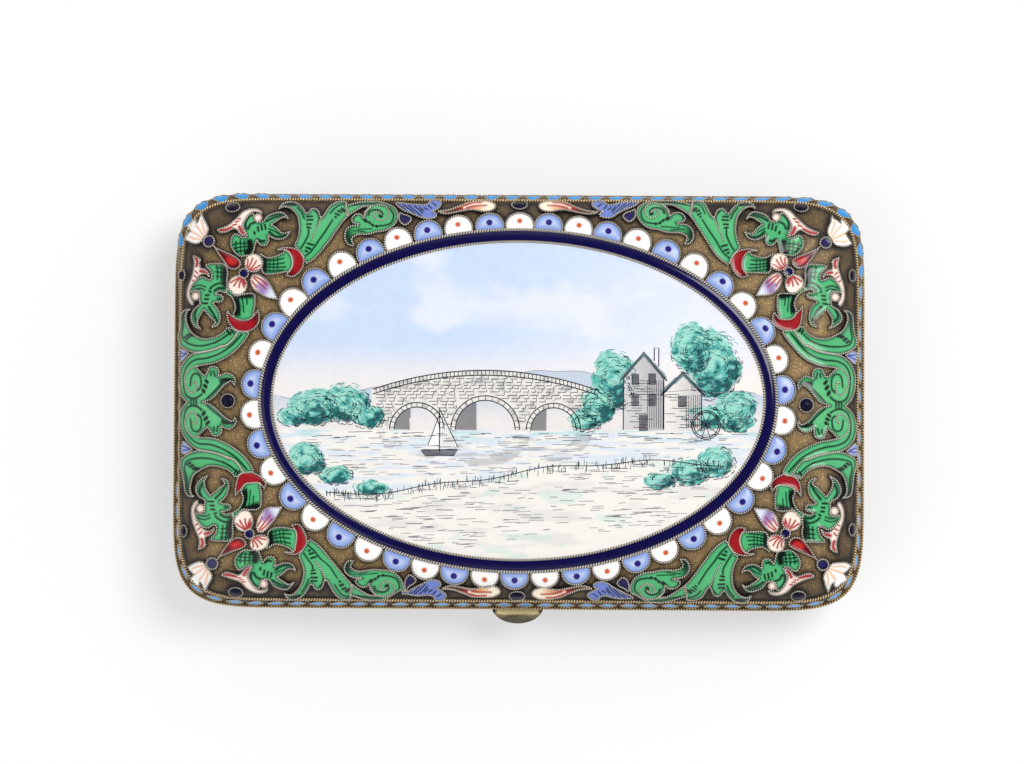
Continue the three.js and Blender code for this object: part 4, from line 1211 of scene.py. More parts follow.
LONG_SCROLL = Motif("scroll_long", "scroll_long", Slot.GREEN, (
    Cell("46.7 26.15*, 45.7 26.5, 44.95 26.85, 44.25 27.5, 43.6 28.1, 43.0 28.85, 42.4 29.25, 41.7 29.45, 40.85 29.45,"
         " 40.15 29.15, 39.95 28.7*, 40.3 28.95, 40.7 29.05, 41.4 29.05, 42.0 28.6, 42.5 27.8, 42.85 26.9, 42.75 26.15,"
         " 42.4 25.6, 42.3 25.2*, 43.05 25.45, 43.6 26.15, 44.15 26.35, 44.7 26.1, 45.25 25.85, 45.9 25.7, 46.4 25.85",
         Tint.PINK, Tint.ROSE, 0.12, 0.25, brushes=(
             ink(0.4, "46.3 26.05, 45.4 26.15, 44.5 26.5", tint=Tint.ROSE, soft=0.2),
             ink(0.22, "44.3 26.9, 43.8 27.0", "43.9 27.4, 43.5 27.5", "43.5 27.9, 43.2 27.9", tint=Tint.ROSE),
             ink(0.4, "43.3 26.6, 43.0 26.0, 42.7 25.5", tint=Tint.ROSE, soft=0.2),)),
    Cell((40.5, 28.05, 0.6), Tint.PINK, Tint.ROSE, 0.2, 0.5),
    Cell("43.0 22.0, 43.8 22.6, 44.4 23.5, 44.5 24.35, 44.3 25.0, 44.0 25.4, 43.5 25.35, 43.0 25.0, 42.25 24.9,"
         " 42.1 25.3, 42.6 26.3, 42.7 27.0, 42.4 27.8, 41.9 28.5, 41.3 28.7, 40.95 27.9, 40.6 27.4, 40.1 27.3,"
         " 39.55 27.5, 39.05 28.25, 38.3 28.65, 37.7 28.85, 36.85 28.9, 36.25 28.5, 35.75 27.85*, 36.1 28.15,"
         " 36.75 28.1, 37.4 27.7, 38.05 27.25, 38.4 26.9*, 37.95 26.7, 37.35 26.25, 36.8 25.7, 36.15 25.6, 35.4 25.95*,"
         " 35.95 25.05, 36.7 24.7, 37.55 24.7, 38.2 24.95, 38.85 25.25*, 38.7 24.5, 39.0 23.8, 39.7 23.7, 40.2 24.05,"
         " 40.5 24.6*, 40.8 23.6, 40.95 22.9, 41.3 22.2, 42.2 22.1", Tint.GREEN, brushes=(
             ink(0.2, "43.75 24.3, 43.7 23.4, 43.4 22.6", "43.05 24.5, 43.0 23.4, 42.9 22.5",
                 "42.45 24.4, 42.4 23.3, 42.3 22.5", "42.2 24.0, 43.2 24.0, 44.2 23.8", "42.1 23.5, 43.2 23.4,"
                 " 44.1 23.2",
                 "42.1 22.9, 43.0 22.8, 43.8 22.7"),
             ink(0.9, "41.6 24.2, 41.5 23.2, 41.9 22.5", tint=Tint.BLACK_GREEN, soft=0.4),
             ink(0.35, "41.6 28.5, 42.15 27.8, 42.4 27.0, 42.2 26.3", "41.0 27.3, 41.6 27.0, 41.9 26.3"),
             ink(0.28, "40.95 25.8, 40.85 25.5", "40.45 26.6, 40.3 25.95", "39.9 26.85, 39.75 26.15",
                 "39.35 26.95, 39.2 26.3", tint=Tint.BLACK_GREEN),
             ink(0.36, "39.1 27.5, 38.3 28.0, 37.3 28.35, 36.4 28.4", "38.6 25.8, 37.8 25.2, 36.8 25.05, 35.9 25.4"),
             ink(0.2, "38.7 26.3, 37.8 25.9, 36.9 25.4", "38.7 28.3, 37.6 28.65, 36.8 28.7"),
             ink(0.4, "40.2 24.6, 39.8 24.3, 39.4 24.4"),)),
    Cell("39.9 22.2, 39.2 21.9, 38.6 21.75, 37.25 22.1, 36.4 22.5, 35.9 22.95, 35.1 22.0, 34.9 20.8, 35.3 19.8,"
         " 36.1 19.6, 37.65 19.3, 39.2 19.3, 39.6 19.9, 39.6 21.0", Tint.GREEN, brushes=(
             ink(0.2, "39.2 21.35, 37.6 21.4, 36.3 21.7", "39.2 20.8, 37.5 20.8, 36.2 21.0",
                 "39.2 20.4, 37.5 20.3, 36.0 20.4", "39.2 19.8, 37.6 19.75, 36.4 19.9"),
             ink(0.7, "39.3 22.0, 39.2 21.0, 39.2 19.8", tint=Tint.BLACK_GREEN, soft=0.4),
             ink(0.14, "38.4 21.6, 38.4 19.7", "37.8 21.6, 37.8 19.8", "37.2 21.8, 37.2 19.9"),)),
    Cell("37.3 23.0*, 36.6 23.25, 35.75 23.35, 34.8 23.25, 33.8 22.7, 33.2 21.65, 33.5 20.05, 34.7 18.95, 35.9 19.05*,"
         " 35.3 19.8, 34.9 20.8, 35.1 22.0, 35.9 22.95", Tint.RED, Tint.DARK_RED, 0.3, 0.5,
         washes=(Wash(Tint.DARK_RED, (34.9, 22.4), (36.6, 23.3)), Wash(Tint.DARK_RED, (34.4, 20.3), (35.5, 19.1)))),
    Cell("32.75 20.95*, 31.85 21.5, 30.75 22.6, 29.9 23.7, 29.15 24.7, 28.55 25.7, 27.85 26.75, 27.3 27.6, 26.7 28.35,"
         " 26.6 29.1, 27.0 30.1, 26.95 30.7*, 27.8 30.85, 28.65 30.6, 29.4 30.0, 29.95 29.15, 30.3 28.45, 30.7 28.1*,"
         " 30.95 28.5, 31.25 29.25, 31.8 29.6, 32.3 29.5, 32.65 28.9*, 33.1 28.8, 33.55 29.5, 34.25 30.2, 35.15 30.65,"
         " 36.0 30.7, 36.8 30.4, 37.3 29.6*, 36.7 29.9, 35.85 29.8, 35.05 29.25, 34.4 28.4, 34.1 27.5, 33.95 26.35,"
         " 34.05 25.25, 34.3 24.4, 34.6 23.7, 34.05 23.1, 33.3 22.0", Tint.GREEN,
         washes=(Wash(Tint.PALE_GREEN, (32.2, 23.0), (33.2, 26.5)), Wash(Tint.GREEN, (33.0, 26.5), (33.4, 28.4)),
                 Wash(Tint.GREEN, (31.6, 25.5), (29.5, 25.0))),
         brushes=(
             ink(0.24, "33.65 23.3, 33.0 24.4, 32.55 25.5, 32.6 26.2", "33.3 28.0, 33.8 29.0, 34.5 29.8",
                 "31.7 29.25, 31.1 28.6, 31.0 28.0, 31.3 26.8", "28.9 27.8, 30.0 25.9, 31.0 24.4, 32.0 22.9, 32.9 22.1",
                 "29.3 28.9, 28.7 29.7, 28.1 30.2, 27.2 30.45"),
             ink(0.5, "34.9 30.3, 35.8 30.35, 36.4 30.1", tint=Tint.BLACK_GREEN, soft=0.2),
             ink(0.28, "32.9 28.3, 32.1 28.35", "32.9 27.75, 32.0 27.8", "32.85 27.1, 32.2 27.1", "32.8 26.6,"
             " 32.3 26.5",
                 "32.6 24.05, 31.8 23.8", "32.8 23.4, 32.2 23.2", "32.9 22.9, 32.7 22.8", tint=Tint.BLACK_GREEN),
             ink(0.42, "27.6 29.6, 27.1 29.25", tint=Tint.BLACK_GREEN),
             ink(0.3, "28.15 29.3, 27.6 29.05", "28.5 28.85, 27.95 28.55", "28.55 28.3, 28.4 28.2",
                 tint=Tint.BLACK_GREEN),)),
    Cell("27.0 30.1*, 26.3 30.3, 25.25 30.65, 24.2 30.85, 23.15 30.85, 22.2 30.85, 21.15 30.6, 20.1 30.2, 19.25 29.6,"
         " 18.9 28.75, 18.9 28.0, 19.3 27.15, 19.9 26.6, 20.55 26.2, 21.4 26.0, 22.2 25.9, 23.0 25.6, 23.85 25.5,"
         " 24.75 25.5, 25.4 25.25, 25.9 24.75, 25.5 23.75*, 26.25 23.85, 26.8 24.55, 26.95 25.3, 26.75 26.1,"
         " 26.35 26.6,"
         " 25.7 26.85, 24.85 27.0, 25.65 27.3, 25.95 27.85, 25.65 28.45, 25.1 28.75, 24.45 28.55, 24.1 28.0*,"
         " 23.95 28.55, 23.65 29.4, 23.1 30.0*, 24.2 30.05, 25.0 29.6, 25.85 29.0, 26.7 28.35*", Tint.GREEN,
         washes=(Wash(Tint.DEEP_GREEN, (24.8, 26.2), (26.6, 25.3)),),
         brushes=(
             ink(0.26, "26.0 30.25, 25.0 30.4, 23.0 30.5, 21.5 30.2, 20.3 29.7, 19.6 28.9, 19.55 28.0, 19.9 27.3,"
                 " 20.8 26.95, 22.0 26.85"),
             ink(0.3, "23.4 28.6, 23.2 29.2, 22.3 29.5, 21.6 29.3, 21.2 28.8"),
             ink(0.5, "21.6 28.5, 21.4 28.4", "23.85 27.75, 23.7 27.6", tint=Tint.BLACK_GREEN),
             ink(0.36, "23.25 27.45, 23.1 27.3", "22.75 27.05, 22.6 26.9", "22.15 26.85, 22.0 26.75",
                 tint=Tint.BLACK_GREEN),
             ink(0.36, "25.75 27.9, 25.75 28.3, 25.3 28.6", tint=Tint.BLACK_GREEN),
             ink(0.16, "24.9 26.3, 23.8 26.35, 22.8 26.4", "25.6 26.1, 24.5 26.0, 23.8 25.9"),)),
    Cell("19.3 30.65*, 18.4 30.6, 17.2 30.45, 15.9 30.35, 14.7 30.35, 14.1 30.7, 13.85 31.2, 13.0 31.35, 12.3 30.8,"
         " 12.45 30.0, 13.05 29.5, 13.6 29.2*, 12.95 28.9, 13.0 28.35, 13.9 28.05, 14.85 28.15, 15.95 28.55, 17.0 29.0,"
         " 18.15 29.5, 19.0 30.2", Tint.FEATHER, Tint.INDIGO, 0.15, 0.35, brushes=(
             ink(0.18, "18.9 30.4, 18.0 29.8, 17.5 29.35", "18.1 30.35, 16.9 29.5, 16.2 28.85",
                 "17.2 30.2, 16.2 29.4, 15.3 28.6", "16.3 30.1, 15.4 29.4, 15.0 29.0", "15.5 29.9, 14.9 29.4",
                 "14.8 29.9, 14.3 29.6", "14.2 30.3, 13.7 29.8", "13.6 30.75, 13.0 30.3", tint=Tint.BLACK_NAVY),)),
    Cell("18.55 29.0*, 17.85 28.65, 17.25 28.5, 16.75 27.95, 17.2 27.3, 17.7 27.05, 18.4 27.5, 18.65 28.2", Tint.NAVY,
         Tint.BLACK_NAVY),
    Cell("12.7 29.3*, 11.8 29.35, 10.7 29.6, 9.9 29.95, 8.8 30.4, 8.3 30.7, 7.2 30.95, 6.1 31.1, 5.0 31.05, 4.25 30.75,"
         " 3.8 30.35, 4.0 29.75, 4.7 29.4, 5.7 29.3, 6.6 29.5, 7.65 29.6, 8.75 29.4, 9.6 29.2, 11.2 28.9, 12.3 29.05",
         Tint.IVORY, Tint.PEACH, 0.12, 0.4, washes=(Wash(Tint.PEACH, (4.9, 30.3), (6.8, 30.2)),
                                                    Wash(Tint.ROSE, (6.4, 30.3), (8.4, 30.0)),
                                                    Wash(Tint.BLACK_GREEN, (8.2, 30.0), (10.6, 29.5))),
         brushes=(ink(0.2, "8.6 29.95, 7.2 30.55, 5.6 30.7", tint=Tint.IVORY, soft=0.25),
                  ink(0.16, "8.2 29.95, 7.0 30.25, 5.2 30.35", "8.6 30.3, 7.2 30.8, 6.0 30.85", tint=Tint.ROSE,
                  soft=0.2),)),
), wires=("30.7 28.1, 31.3 26.6, 32.1 24.5",
          "24.05 28.6, 23.95 29.1, 23.3 29.8, 22.5 30.15, 21.5 30.25, 20.8 29.95, 20.35 29.35, 20.35 28.45, 20.9 27.85,"
          " 21.45 27.7, 22.0 27.85, 22.5 28.3, 22.6 28.8, 22.2 29.05, 21.7 28.95, 21.35 28.6"))

END_SCROLL = Motif("scroll_end", "scroll_end", Slot.GREEN, (
    Cell("50.4 22.2*, 49.3 21.6, 49.4 20.9, 49.2 20.2, 48.55 20.0, 47.9 19.35, 47.8 18.8*, 48.3 19.3, 49.15 19.25,"
         " 49.75 18.8, 50.2 18.2, 50.7 17.55, 50.95 16.6, 50.8 15.75, 50.3 14.9*, 50.5 14.6, 51.0 15.1, 51.35 15.9,"
         " 51.35 16.95, 51.15 17.95, 50.75 19.0, 50.4 20.0, 50.2 20.95", Tint.PINK, Tint.ROSE, 0.12, 0.25, brushes=(
             ink(0.4, "50.0 21.9, 49.75 21.2, 49.9 20.6", "48.1 19.1, 48.6 19.6, 49.3 19.75", tint=Tint.ROSE, soft=0.2),
             ink(0.2, "50.2 19.8, 49.8 19.4", "50.4 19.1, 50.0 18.8", "50.7 18.4, 50.4 18.2", tint=Tint.ROSE),)),
    Cell((49.95, 15.9, 0.62), Tint.PINK, Tint.ROSE, 0.2, 0.5),
    Cell("48.3 20.6, 47.5 20.85, 46.5 20.85, 45.6 20.8, 45.1 20.3, 44.9 19.3, 45.0 18.4, 44.95 17.5, 45.15 16.45,"
         " 46.1 16.65, 46.8 16.2*, 46.2 16.05, 45.6 15.75, 45.6 15.2, 46.1 14.95, 46.6 14.95, 47.1 14.75, 46.55 14.05,"
         " 46.1 13.2, 46.0 12.2, 46.45 11.35, 47.3 11.05*, 46.75 11.9, 47.35 12.45, 48.0 13.2, 48.55 13.85*, 49.2 12.9,"
         " 49.55 12.2, 49.6 11.45, 49.1 10.8*, 49.9 11.15, 50.45 11.9, 50.6 12.9, 50.15 13.85, 49.2 14.65, 49.3 15.4,"
         " 49.3 16.5, 50.0 16.8, 50.8 16.65, 50.6 17.5, 49.85 18.4, 48.9 18.85, 47.6 18.4, 47.45 19.4, 47.9 20.1",
         Tint.GREEN, brushes=(
             ink(0.28, "47.75 16.6, 47.5 16.5", "48.3 16.0, 47.8 16.0", "48.4 15.4, 47.9 15.4",
                 "48.7 14.75, 48.05 14.75", tint=Tint.BLACK_GREEN),
             ink(0.2, "50.4 17.3, 49.4 17.6, 48.4 17.3", "50.2 16.95, 49.2 17.1, 48.5 16.8",
                 "46.8 20.3, 46.0 20.2, 45.4 20.1", "46.8 19.6, 45.9 19.5, 45.2 19.4", "46.7 18.9, 45.9 18.8,"
                 " 45.2 18.7",
                 "46.6 20.7, 46.5 19.6, 46.5 18.4", "46.0 20.6, 45.9 19.4, 45.9 18.2"),
             ink(0.3, "45.3 17.8, 46.3 17.8, 47.2 17.4, 47.6 17.0", "45.4 17.0, 46.3 17.1, 46.9 16.7"),
             ink(0.8, "45.3 20.2, 45.4 19.0, 45.3 17.6", tint=Tint.BLACK_GREEN, soft=0.5),
             ink(0.34, "47.8 14.2, 47.0 13.0, 46.5 12.0", "49.7 14.0, 50.1 13.0, 49.9 12.0"),
             ink(0.3, "46.4 15.5, 46.0 15.4"),
             ink(0.3, "48.6 20.4, 47.9 19.8, 47.5 19.0"),)),
    Cell("45.15 16.45, 44.3 15.8, 43.75 14.8, 43.6 13.85, 43.9 13.0, 43.5 12.4, 42.4 12.1, 41.35 12.3, 40.7 12.9,"
         " 40.85 13.15, 40.65 14.1, 40.6 15.15, 40.8 16.15, 42.5 16.1, 43.6 15.9, 44.6 16.9", Tint.GREEN, brushes=(
             ink(0.18, "43.2 15.6, 43.0 14.2, 42.9 12.8", "42.6 15.8, 42.4 14.4, 42.3 13.4", "41.9 15.8, 41.8 14.6"),
             ink(0.9, "43.6 15.2, 43.3 14.2, 43.4 13.2", "43.4 15.9, 42.2 16.0, 41.2 16.0", tint=Tint.BLACK_GREEN,
                 soft=0.4),)),
    Cell("44.85 13.55*, 44.3 12.9, 43.5 12.4, 42.4 12.1, 41.35 12.3, 40.7 12.9, 40.15 13.65*, 39.9 12.8, 40.1 11.6,"
         " 40.75 10.85, 41.85 10.4, 42.95 10.4, 43.9 10.95, 44.6 11.8, 44.85 12.8", Tint.RED, Tint.DARK_RED, 0.3, 0.6,
         washes=(Wash(Tint.DARK_RED, (41.4, 11.6), (40.2, 12.6)),)),
    Cell("43.0 10.4*, 44.65 10.95, 45.3 10.4, 46.05 9.85, 46.95 9.45, 48.0 9.25, 49.1 9.35, 50.0 9.8, 50.75 10.4,"
         " 51.3 11.3, 51.55 12.15, 51.6 12.9, 51.35 13.6, 50.9 13.9*, 51.9 13.75, 52.4 13.1, 52.6 11.8,"
         " 52.75 11.0, 53.05 10.05,"
         " 53.0 9.2, 52.55 8.3, 51.55 7.65, 50.35 7.25, 49.15 7.2, 47.8 7.4, 46.7 7.7, 45.7 8.15, 45.0 8.25, 43.9 9.2",
         Tint.GREEN, washes=(Wash(Tint.BLACK_GREEN, (52.2, 10.4), (52.4, 13.2)),), brushes=(
             ink(0.24, "52.1 12.8, 52.15 11.5, 52.4 10.2, 52.0 9.1, 50.7 8.4, 49.0 8.2, 47.4 8.5, 46.0 9.1, 44.9 9.8",
                 "44.2 10.3, 45.6 9.3, 46.8 8.6"),
             ink(0.3, "44.9 10.6, 44.35 9.95", "44.3 10.75, 43.8 10.15", "51.95 9.7, 51.5 9.25", "51.55 9.95,"
             " 51.15 9.5",
                 "51.15 10.1, 50.8 9.75", "50.75 10.1, 50.45 9.75", tint=Tint.BLACK_GREEN),)),
    Cell("41.45 10.2*, 42.0 9.2, 42.85 8.15, 43.9 7.15, 45.0 6.4, 46.1 5.85, 47.2 5.45, 48.3 5.3, 49.45 5.1,"
    " 49.9 4.95*,"
         " 49.3 4.4, 48.7 3.8, 48.2 3.5*, 47.85 4.25, 47.6 4.8, 47.0 5.0, 46.3 4.7, 46.1 4.05, 46.2 3.4*, 45.65 3.7,"
         " 44.8 3.95, 44.0 3.6, 43.55 2.95, 43.65 2.2*, 44.1 2.75, 44.75 2.55, 45.65 1.9, 46.5 1.05, 47.4 0.4,"
         " 48.75 0.0*, 51.15 0.0*, 52.2 0.95, 52.65 1.8, 52.85 2.85, 52.8 3.9, 52.5 4.95, 51.95 5.8, 51.15 6.55,"
         " 50.3 7.0, 49.15 7.2, 47.8 7.4, 46.7 7.7, 45.7 8.15, 45.0 8.25, 43.9 9.2, 43.0 10.4", Tint.GREEN,
         washes=(Wash(Tint.PALE_GREEN, (49.6, 4.0), (49.9, 2.6)),),
         brushes=(
             ink(0.26, "42.6 9.9, 44.2 8.2, 46.0 7.0, 48.0 6.3, 50.0 6.05, 51.3 5.3, 51.95 4.0, 52.0 2.5, 51.6 1.2,"
                 " 50.7 0.6, 49.6 0.65, 48.8 1.1", "50.75 2.2, 50.5 3.5, 49.9 3.95, 49.2 3.6, 48.95 2.8, 49.0 2.0,"
                 " 49.5 1.6"),
             ink(0.42, "48.2 2.85, 47.9 2.6", "48.4 2.2, 48.1 2.0", "48.65 1.6, 48.4 1.4", tint=Tint.BLACK_GREEN),
             ink(0.26, "47.3 4.2, 47.35 3.6", "46.9 4.3, 46.7 3.5", "50.6 0.4, 50.6 0.0", "50.15 0.4, 50.15 0.0",
                 "49.7 0.4, 49.7 0.0", "48.0 0.5, 46.6 1.6, 45.6 2.5"),
             ink(0.6, "45.7 2.8, 45.0 2.95, 44.2 2.9", tint=Tint.BLACK_GREEN, soft=0.3),)),
    Cell("52.95 7.6, 52.1 7.65, 51.2 7.05*, 51.9 6.4, 52.7 5.85, 52.95 6.4", Tint.PALE_BLUE, Tint.FEATHER, 0.15, 0.4,
         brushes=(ink(0.16, "51.5 7.05, 52.8 7.2", "51.6 7.0, 52.8 6.5", tint=Tint.INDIGO),)),
), wires=("45.0 8.25, 46.7 7.7, 48.5 7.3, 50.3 7.0",
          "49.45 5.1, 50.25 4.9, 51.1 4.4, 51.65 3.4, 51.7 2.5, 51.2 1.8, 50.5 1.3, 49.8 1.6, 49.6 2.2, 49.9 2.7,"
          " 50.3 2.5"))

SHOULDER_BEADS = ((44.65, 29.85, 1.0, 0.66), (52.85, 19.3, 0.46, 0.8))
MIDDLE_BEADS = (("bead_back", 0.0, 30.5, 1.1, 0.62), ("bead_front", 0.0, -30.15, 1.1, 0.62),
                ("bead_right", 44.3, -0.45, 0.97, 0.97), ("bead_left", -44.7, -0.3, 0.97, 0.97))
# One lobe a row, from the middle of the back edge anticlockwise: its middle's shift from the
# even spacing, and how far its dot and its outer edge stand off the outer rope.
LOBES = (
    (-0.09, 1.39, 2.55), (-0.07, 1.28, 2.6), (0.12, 1.5, 2.8), (0.24, 1.53, 2.9), (0.34, 1.7, 3.05),
    (0.3, 1.6, 3.0), (0.4, 1.85, 3.25), (0.48, 1.83, 3.35), (0.34, 1.9, 3.4), (0.18, 1.76, 3.1),
    (0.13, 1.68, 2.9), (0.1, 1.55, 2.8), (-0.03, 1.68, 2.9), (-0.15, 1.69, 2.95), (-0.3, 1.68, 3.1),
    (-0.2, 1.75, 3.1), (-0.29, 1.76, 3.25), (-0.27, 1.74, 3.15), (-0.25, 1.61, 3.0), (-0.22, 1.48, 2.8),
    (-0.34, 1.48, 2.75), (-0.4, 1.44, 2.6), (-0.32, 1.4, 2.5), (-0.36, 1.3, 2.5), (-0.32, 1.36, 2.45),
    (-0.1, 1.3, 2.45), (-0.03, 1.38, 2.6), (0.1, 1.5, 2.7), (0.03, 1.48, 2.85), (0.08, 1.53, 2.95),
    (-0.03, 1.7, 3.2), (-0.04, 1.56, 3.0), (-0.17, 1.62, 3.0), (-0.36, 1.6, 2.85), (-0.42, 1.46, 3.0),
    (-0.52, 1.32, 2.8), (-0.44, 1.47, 2.78), (-0.38, 1.7, 2.85), (-0.3, 1.66, 3.0), (-0.28, 1.78, 2.95),
    (-0.18, 1.84, 3.12), (-0.08, 1.74, 2.98), (0.06, 1.56, 2.95), (0.12, 1.42, 2.74), (0.05, 1.44, 2.7),
    (0.06, 1.36, 2.6),
)


@dataclass(frozen=True)
class Hand:
    """A corner of the hand-laid scrollwork: its signs, and how far it is off the drawn corner."""

    name: str
    sx: int
    sy: int
    seam: tuple[float, float]
    shifts: tuple[tuple[float, float, float, float], ...] = ()
    highest: float = 31.3

    @property
    def mirrored(self) -> bool:
        """Whether this corner is a mirror image of the drawn one."""
        return self.sx * self.sy < 0

    def laid(self, plan: Array) -> Array:
        """Moves drawn points to this corner.

        Args:
            plan: Points of the drawn corner.

        Returns:
            Their plan places on the case.
        """
        shift = np.zeros_like(plan)
        if self.shifts:
            known = np.array(self.shifts)
            away = ((plan[:, None] - known[None, :, :2]) ** 2).sum(-1)
            pull = 1 / (away + 0.8) ** 2
            shift = (pull[..., None] * known[None, :, 2:]).sum(1) / pull.sum(1)[:, None]
        shift = blend(shift, np.array(self.seam), 1 - rise(0.3, 3.0, plan[:, 1]))
        moved = plan + shift
        moved[:, 1] = np.minimum(moved[:, 1], self.highest)
        return moved * (self.sx, self.sy)


HANDS = (
    Hand("ne", 1, 1, (-0.75, -0.48), (
        (42.4, 19.35, -0.9, 0.65), (52.85, 19.3, -1.2, 0.45), (44.65, 29.85, -0.95, 0.5),
        (47.95, 24.35, -0.65, 0.3), (50.0, 27.25, -0.4, 0.5), (49.55, 28.9, -1.1, 0.0), (52.2, 25.0, -0.7, -0.3),
        (46.7, 26.15, -0.5, 0.0), (40.5, 28.05, -0.8, 0.5), (50.4, 22.2, -1.1, 0.15), (49.95, 15.9, -1.2, 0.35),
        (46.9, 23.3, -0.9, 0.35), (37.1, 15.4, -0.6, 0.9), (42.4, 10.4, -0.65, 0.6), (40.15, 13.65, -0.85, 0.1),
        (44.85, 13.55, -1.25, 1.1), (47.3, 11.05, -1.45, 0.5), (49.1, 10.8, -1.4, 0.55), (33.2, 21.65, -0.65, 0.0),
        (32.75, 20.95, -0.45, 0.2), (26.95, 30.7, -0.15, 0.4), (30.7, 28.1, -0.65, 0.3), (21.7, 28.6, -1.07, 0.6),
        (25.5, 23.75, 0.0, 0.5), (18.9, 28.4, -0.65, 0.8), (17.7, 28.0, -0.7, 0.7), (19.3, 30.65, -0.75, 0.45),
        (12.3, 30.8, -1.05, -0.1), (13.0, 28.35, -0.45, 0.35), (3.8, 30.35, -0.75, 0.05), (12.7, 29.3, -0.5, -0.05),
        (49.9, 2.5, -0.73, 0.46), (47.0, 5.0, -0.9, 0.2), (43.65, 2.2, -0.55, -0.15), (51.1, 13.4, -0.8, 0.3),
        (53.05, 10.05, -0.8, -0.2), (41.45, 10.2, -1.0, 0.65), (52.5, 6.8, -0.7, 0.25))),
    Hand("nw", -1, 1, (0.0, -0.48), (
        (42.4, 10.4, 0.0, 0.0), (52.85, 19.3, -0.35, 0.0), (49.95, 15.9, 0.0, 0.0), (50.4, 22.2, 0.0, 0.0),
        (44.65, 29.85, -0.1, 0.0), (52.2, 25.0, -0.1, 0.0), (52.5, 6.8, -0.2, 0.0), (53.05, 10.05, -0.1, 0.0),
        (51.1, 13.4, 0.0, 0.0), (49.9, 2.5, 0.0, 0.0), (47.0, 5.0, 0.0, 0.0))),
    Hand("sw", -1, -1, (0.0, 0.48), (
        (42.4, 19.35, -1.25, 1.4), (52.85, 19.3, -1.1, 1.15), (44.65, 29.85, -1.1, 0.0),
        (47.95, 24.35, -0.9, 1.05), (46.7, 26.15, -1.2, 1.0), (40.5, 28.05, -1.45, 0.4), (49.95, 15.9, -1.1, 1.0),
        (50.4, 22.2, -1.3, 1.0), (46.9, 23.3, -1.1, 0.97), (37.1, 15.4, -0.93, 1.15), (42.4, 10.4, -0.95, 0.9),
        (40.15, 13.65, -1.25, 0.1), (44.85, 13.55, -1.5, 1.3), (47.3, 11.05, -1.8, 1.2), (49.1, 10.8, -1.4, 1.05),
        (33.2, 21.65, -0.85, 0.3), (32.75, 20.95, -0.85, 0.7), (37.3, 23.0, -1.6, 0.5), (35.9, 19.05, -1.25, 0.3),
        (30.7, 28.1, -1.2, -0.4), (26.95, 30.7, -1.2, 0.0), (21.7, 28.6, -1.43, 0.2), (25.5, 23.75, -0.3, 1.0),
        (18.9, 28.4, -1.4, 0.6), (17.7, 28.0, -1.15, -0.25), (19.3, 30.65, -1.6, -0.85), (12.3, 30.8, -1.3, -0.5),
        (13.0, 28.35, -1.1, -0.45), (3.8, 30.35, -1.2, -0.8), (12.7, 29.3, -1.15, -0.2), (49.9, 2.5, -0.1, 1.15),
        (47.0, 5.0, -0.55, 0.7), (43.65, 2.2, -0.2, 0.67), (51.1, 13.4, -1.0, 1.2), (53.05, 10.05, -0.75, 0.4),
        (41.45, 10.2, -0.9, 0.9), (52.5, 6.8, -0.9, 0.75))),
    Hand("se", 1, -1, (-0.75, 0.48), (
        (42.4, 19.35, -1.25, 0.8), (52.85, 19.3, -1.1, 0.3), (44.65, 29.85, -1.2, 0.0),
        (47.95, 24.35, -0.9, 0.57), (49.55, 28.9, -1.45, 0.3), (52.2, 25.0, -0.6, 0.1), (46.7, 26.15, -1.0, 0.6),
        (40.5, 28.05, -1.2, 0.2), (49.95, 15.9, -1.2, 0.8), (50.4, 22.2, -1.2, 0.9), (46.9, 23.3, -1.1, 0.6),
        (37.1, 15.4, -0.8, 0.9), (42.4, 10.4, -1.1, 0.9), (40.15, 13.65, -1.05, 0.05), (44.85, 13.55, -1.35, 0.85),
        (47.3, 11.05, -1.5, 0.6), (49.1, 10.8, -1.2, 0.55), (33.2, 21.65, -0.75, 0.1), (32.75, 20.95, -0.7, 0.4),
        (26.95, 30.7, -0.75, -0.2), (30.7, 28.1, -1.0, 0.3), (21.7, 28.6, -1.43, 0.35), (25.5, 23.75, -0.4, 0.45),
        (18.9, 28.4, -1.4, 0.45), (17.7, 28.0, -1.3, 0.0), (19.3, 30.65, -1.35, -0.3), (12.3, 30.8, -1.35, -0.8),
        (13.0, 28.35, -1.05, -0.25), (3.8, 30.35, -1.45, -0.5), (12.7, 29.3, -1.1, -0.4), (49.9, 2.5, -0.6, 0.5),
        (47.0, 5.0, -0.6, 0.6), (43.65, 2.2, -0.55, 0.7), (51.1, 13.4, -0.85, 0.75), (53.05, 10.05, -0.75, -0.2),
        (41.45, 10.2, -0.7, 0.6), (52.5, 6.8, -0.5, 0.45))),
)


def opened(line: Array) -> tuple[Array, bool]:
    """Leaves out the stretch of an outline that joins its mirror image at the middle of the case.

    Args:
        line: A closed outline in plan.

    Returns:
        The line, and whether it is still closed.
    """
    seam = np.abs(line[:, 1]) < 1e-6
    if not seam.any():
        return line, True
    last = int(np.flatnonzero(seam & ~np.roll(seam, -1))[0])
    turned = np.roll(line, -last, axis=0)
    end = int(np.flatnonzero(np.abs(turned[1:, 1]) < 1e-6)[0]) + 2
    return turned[:end], False


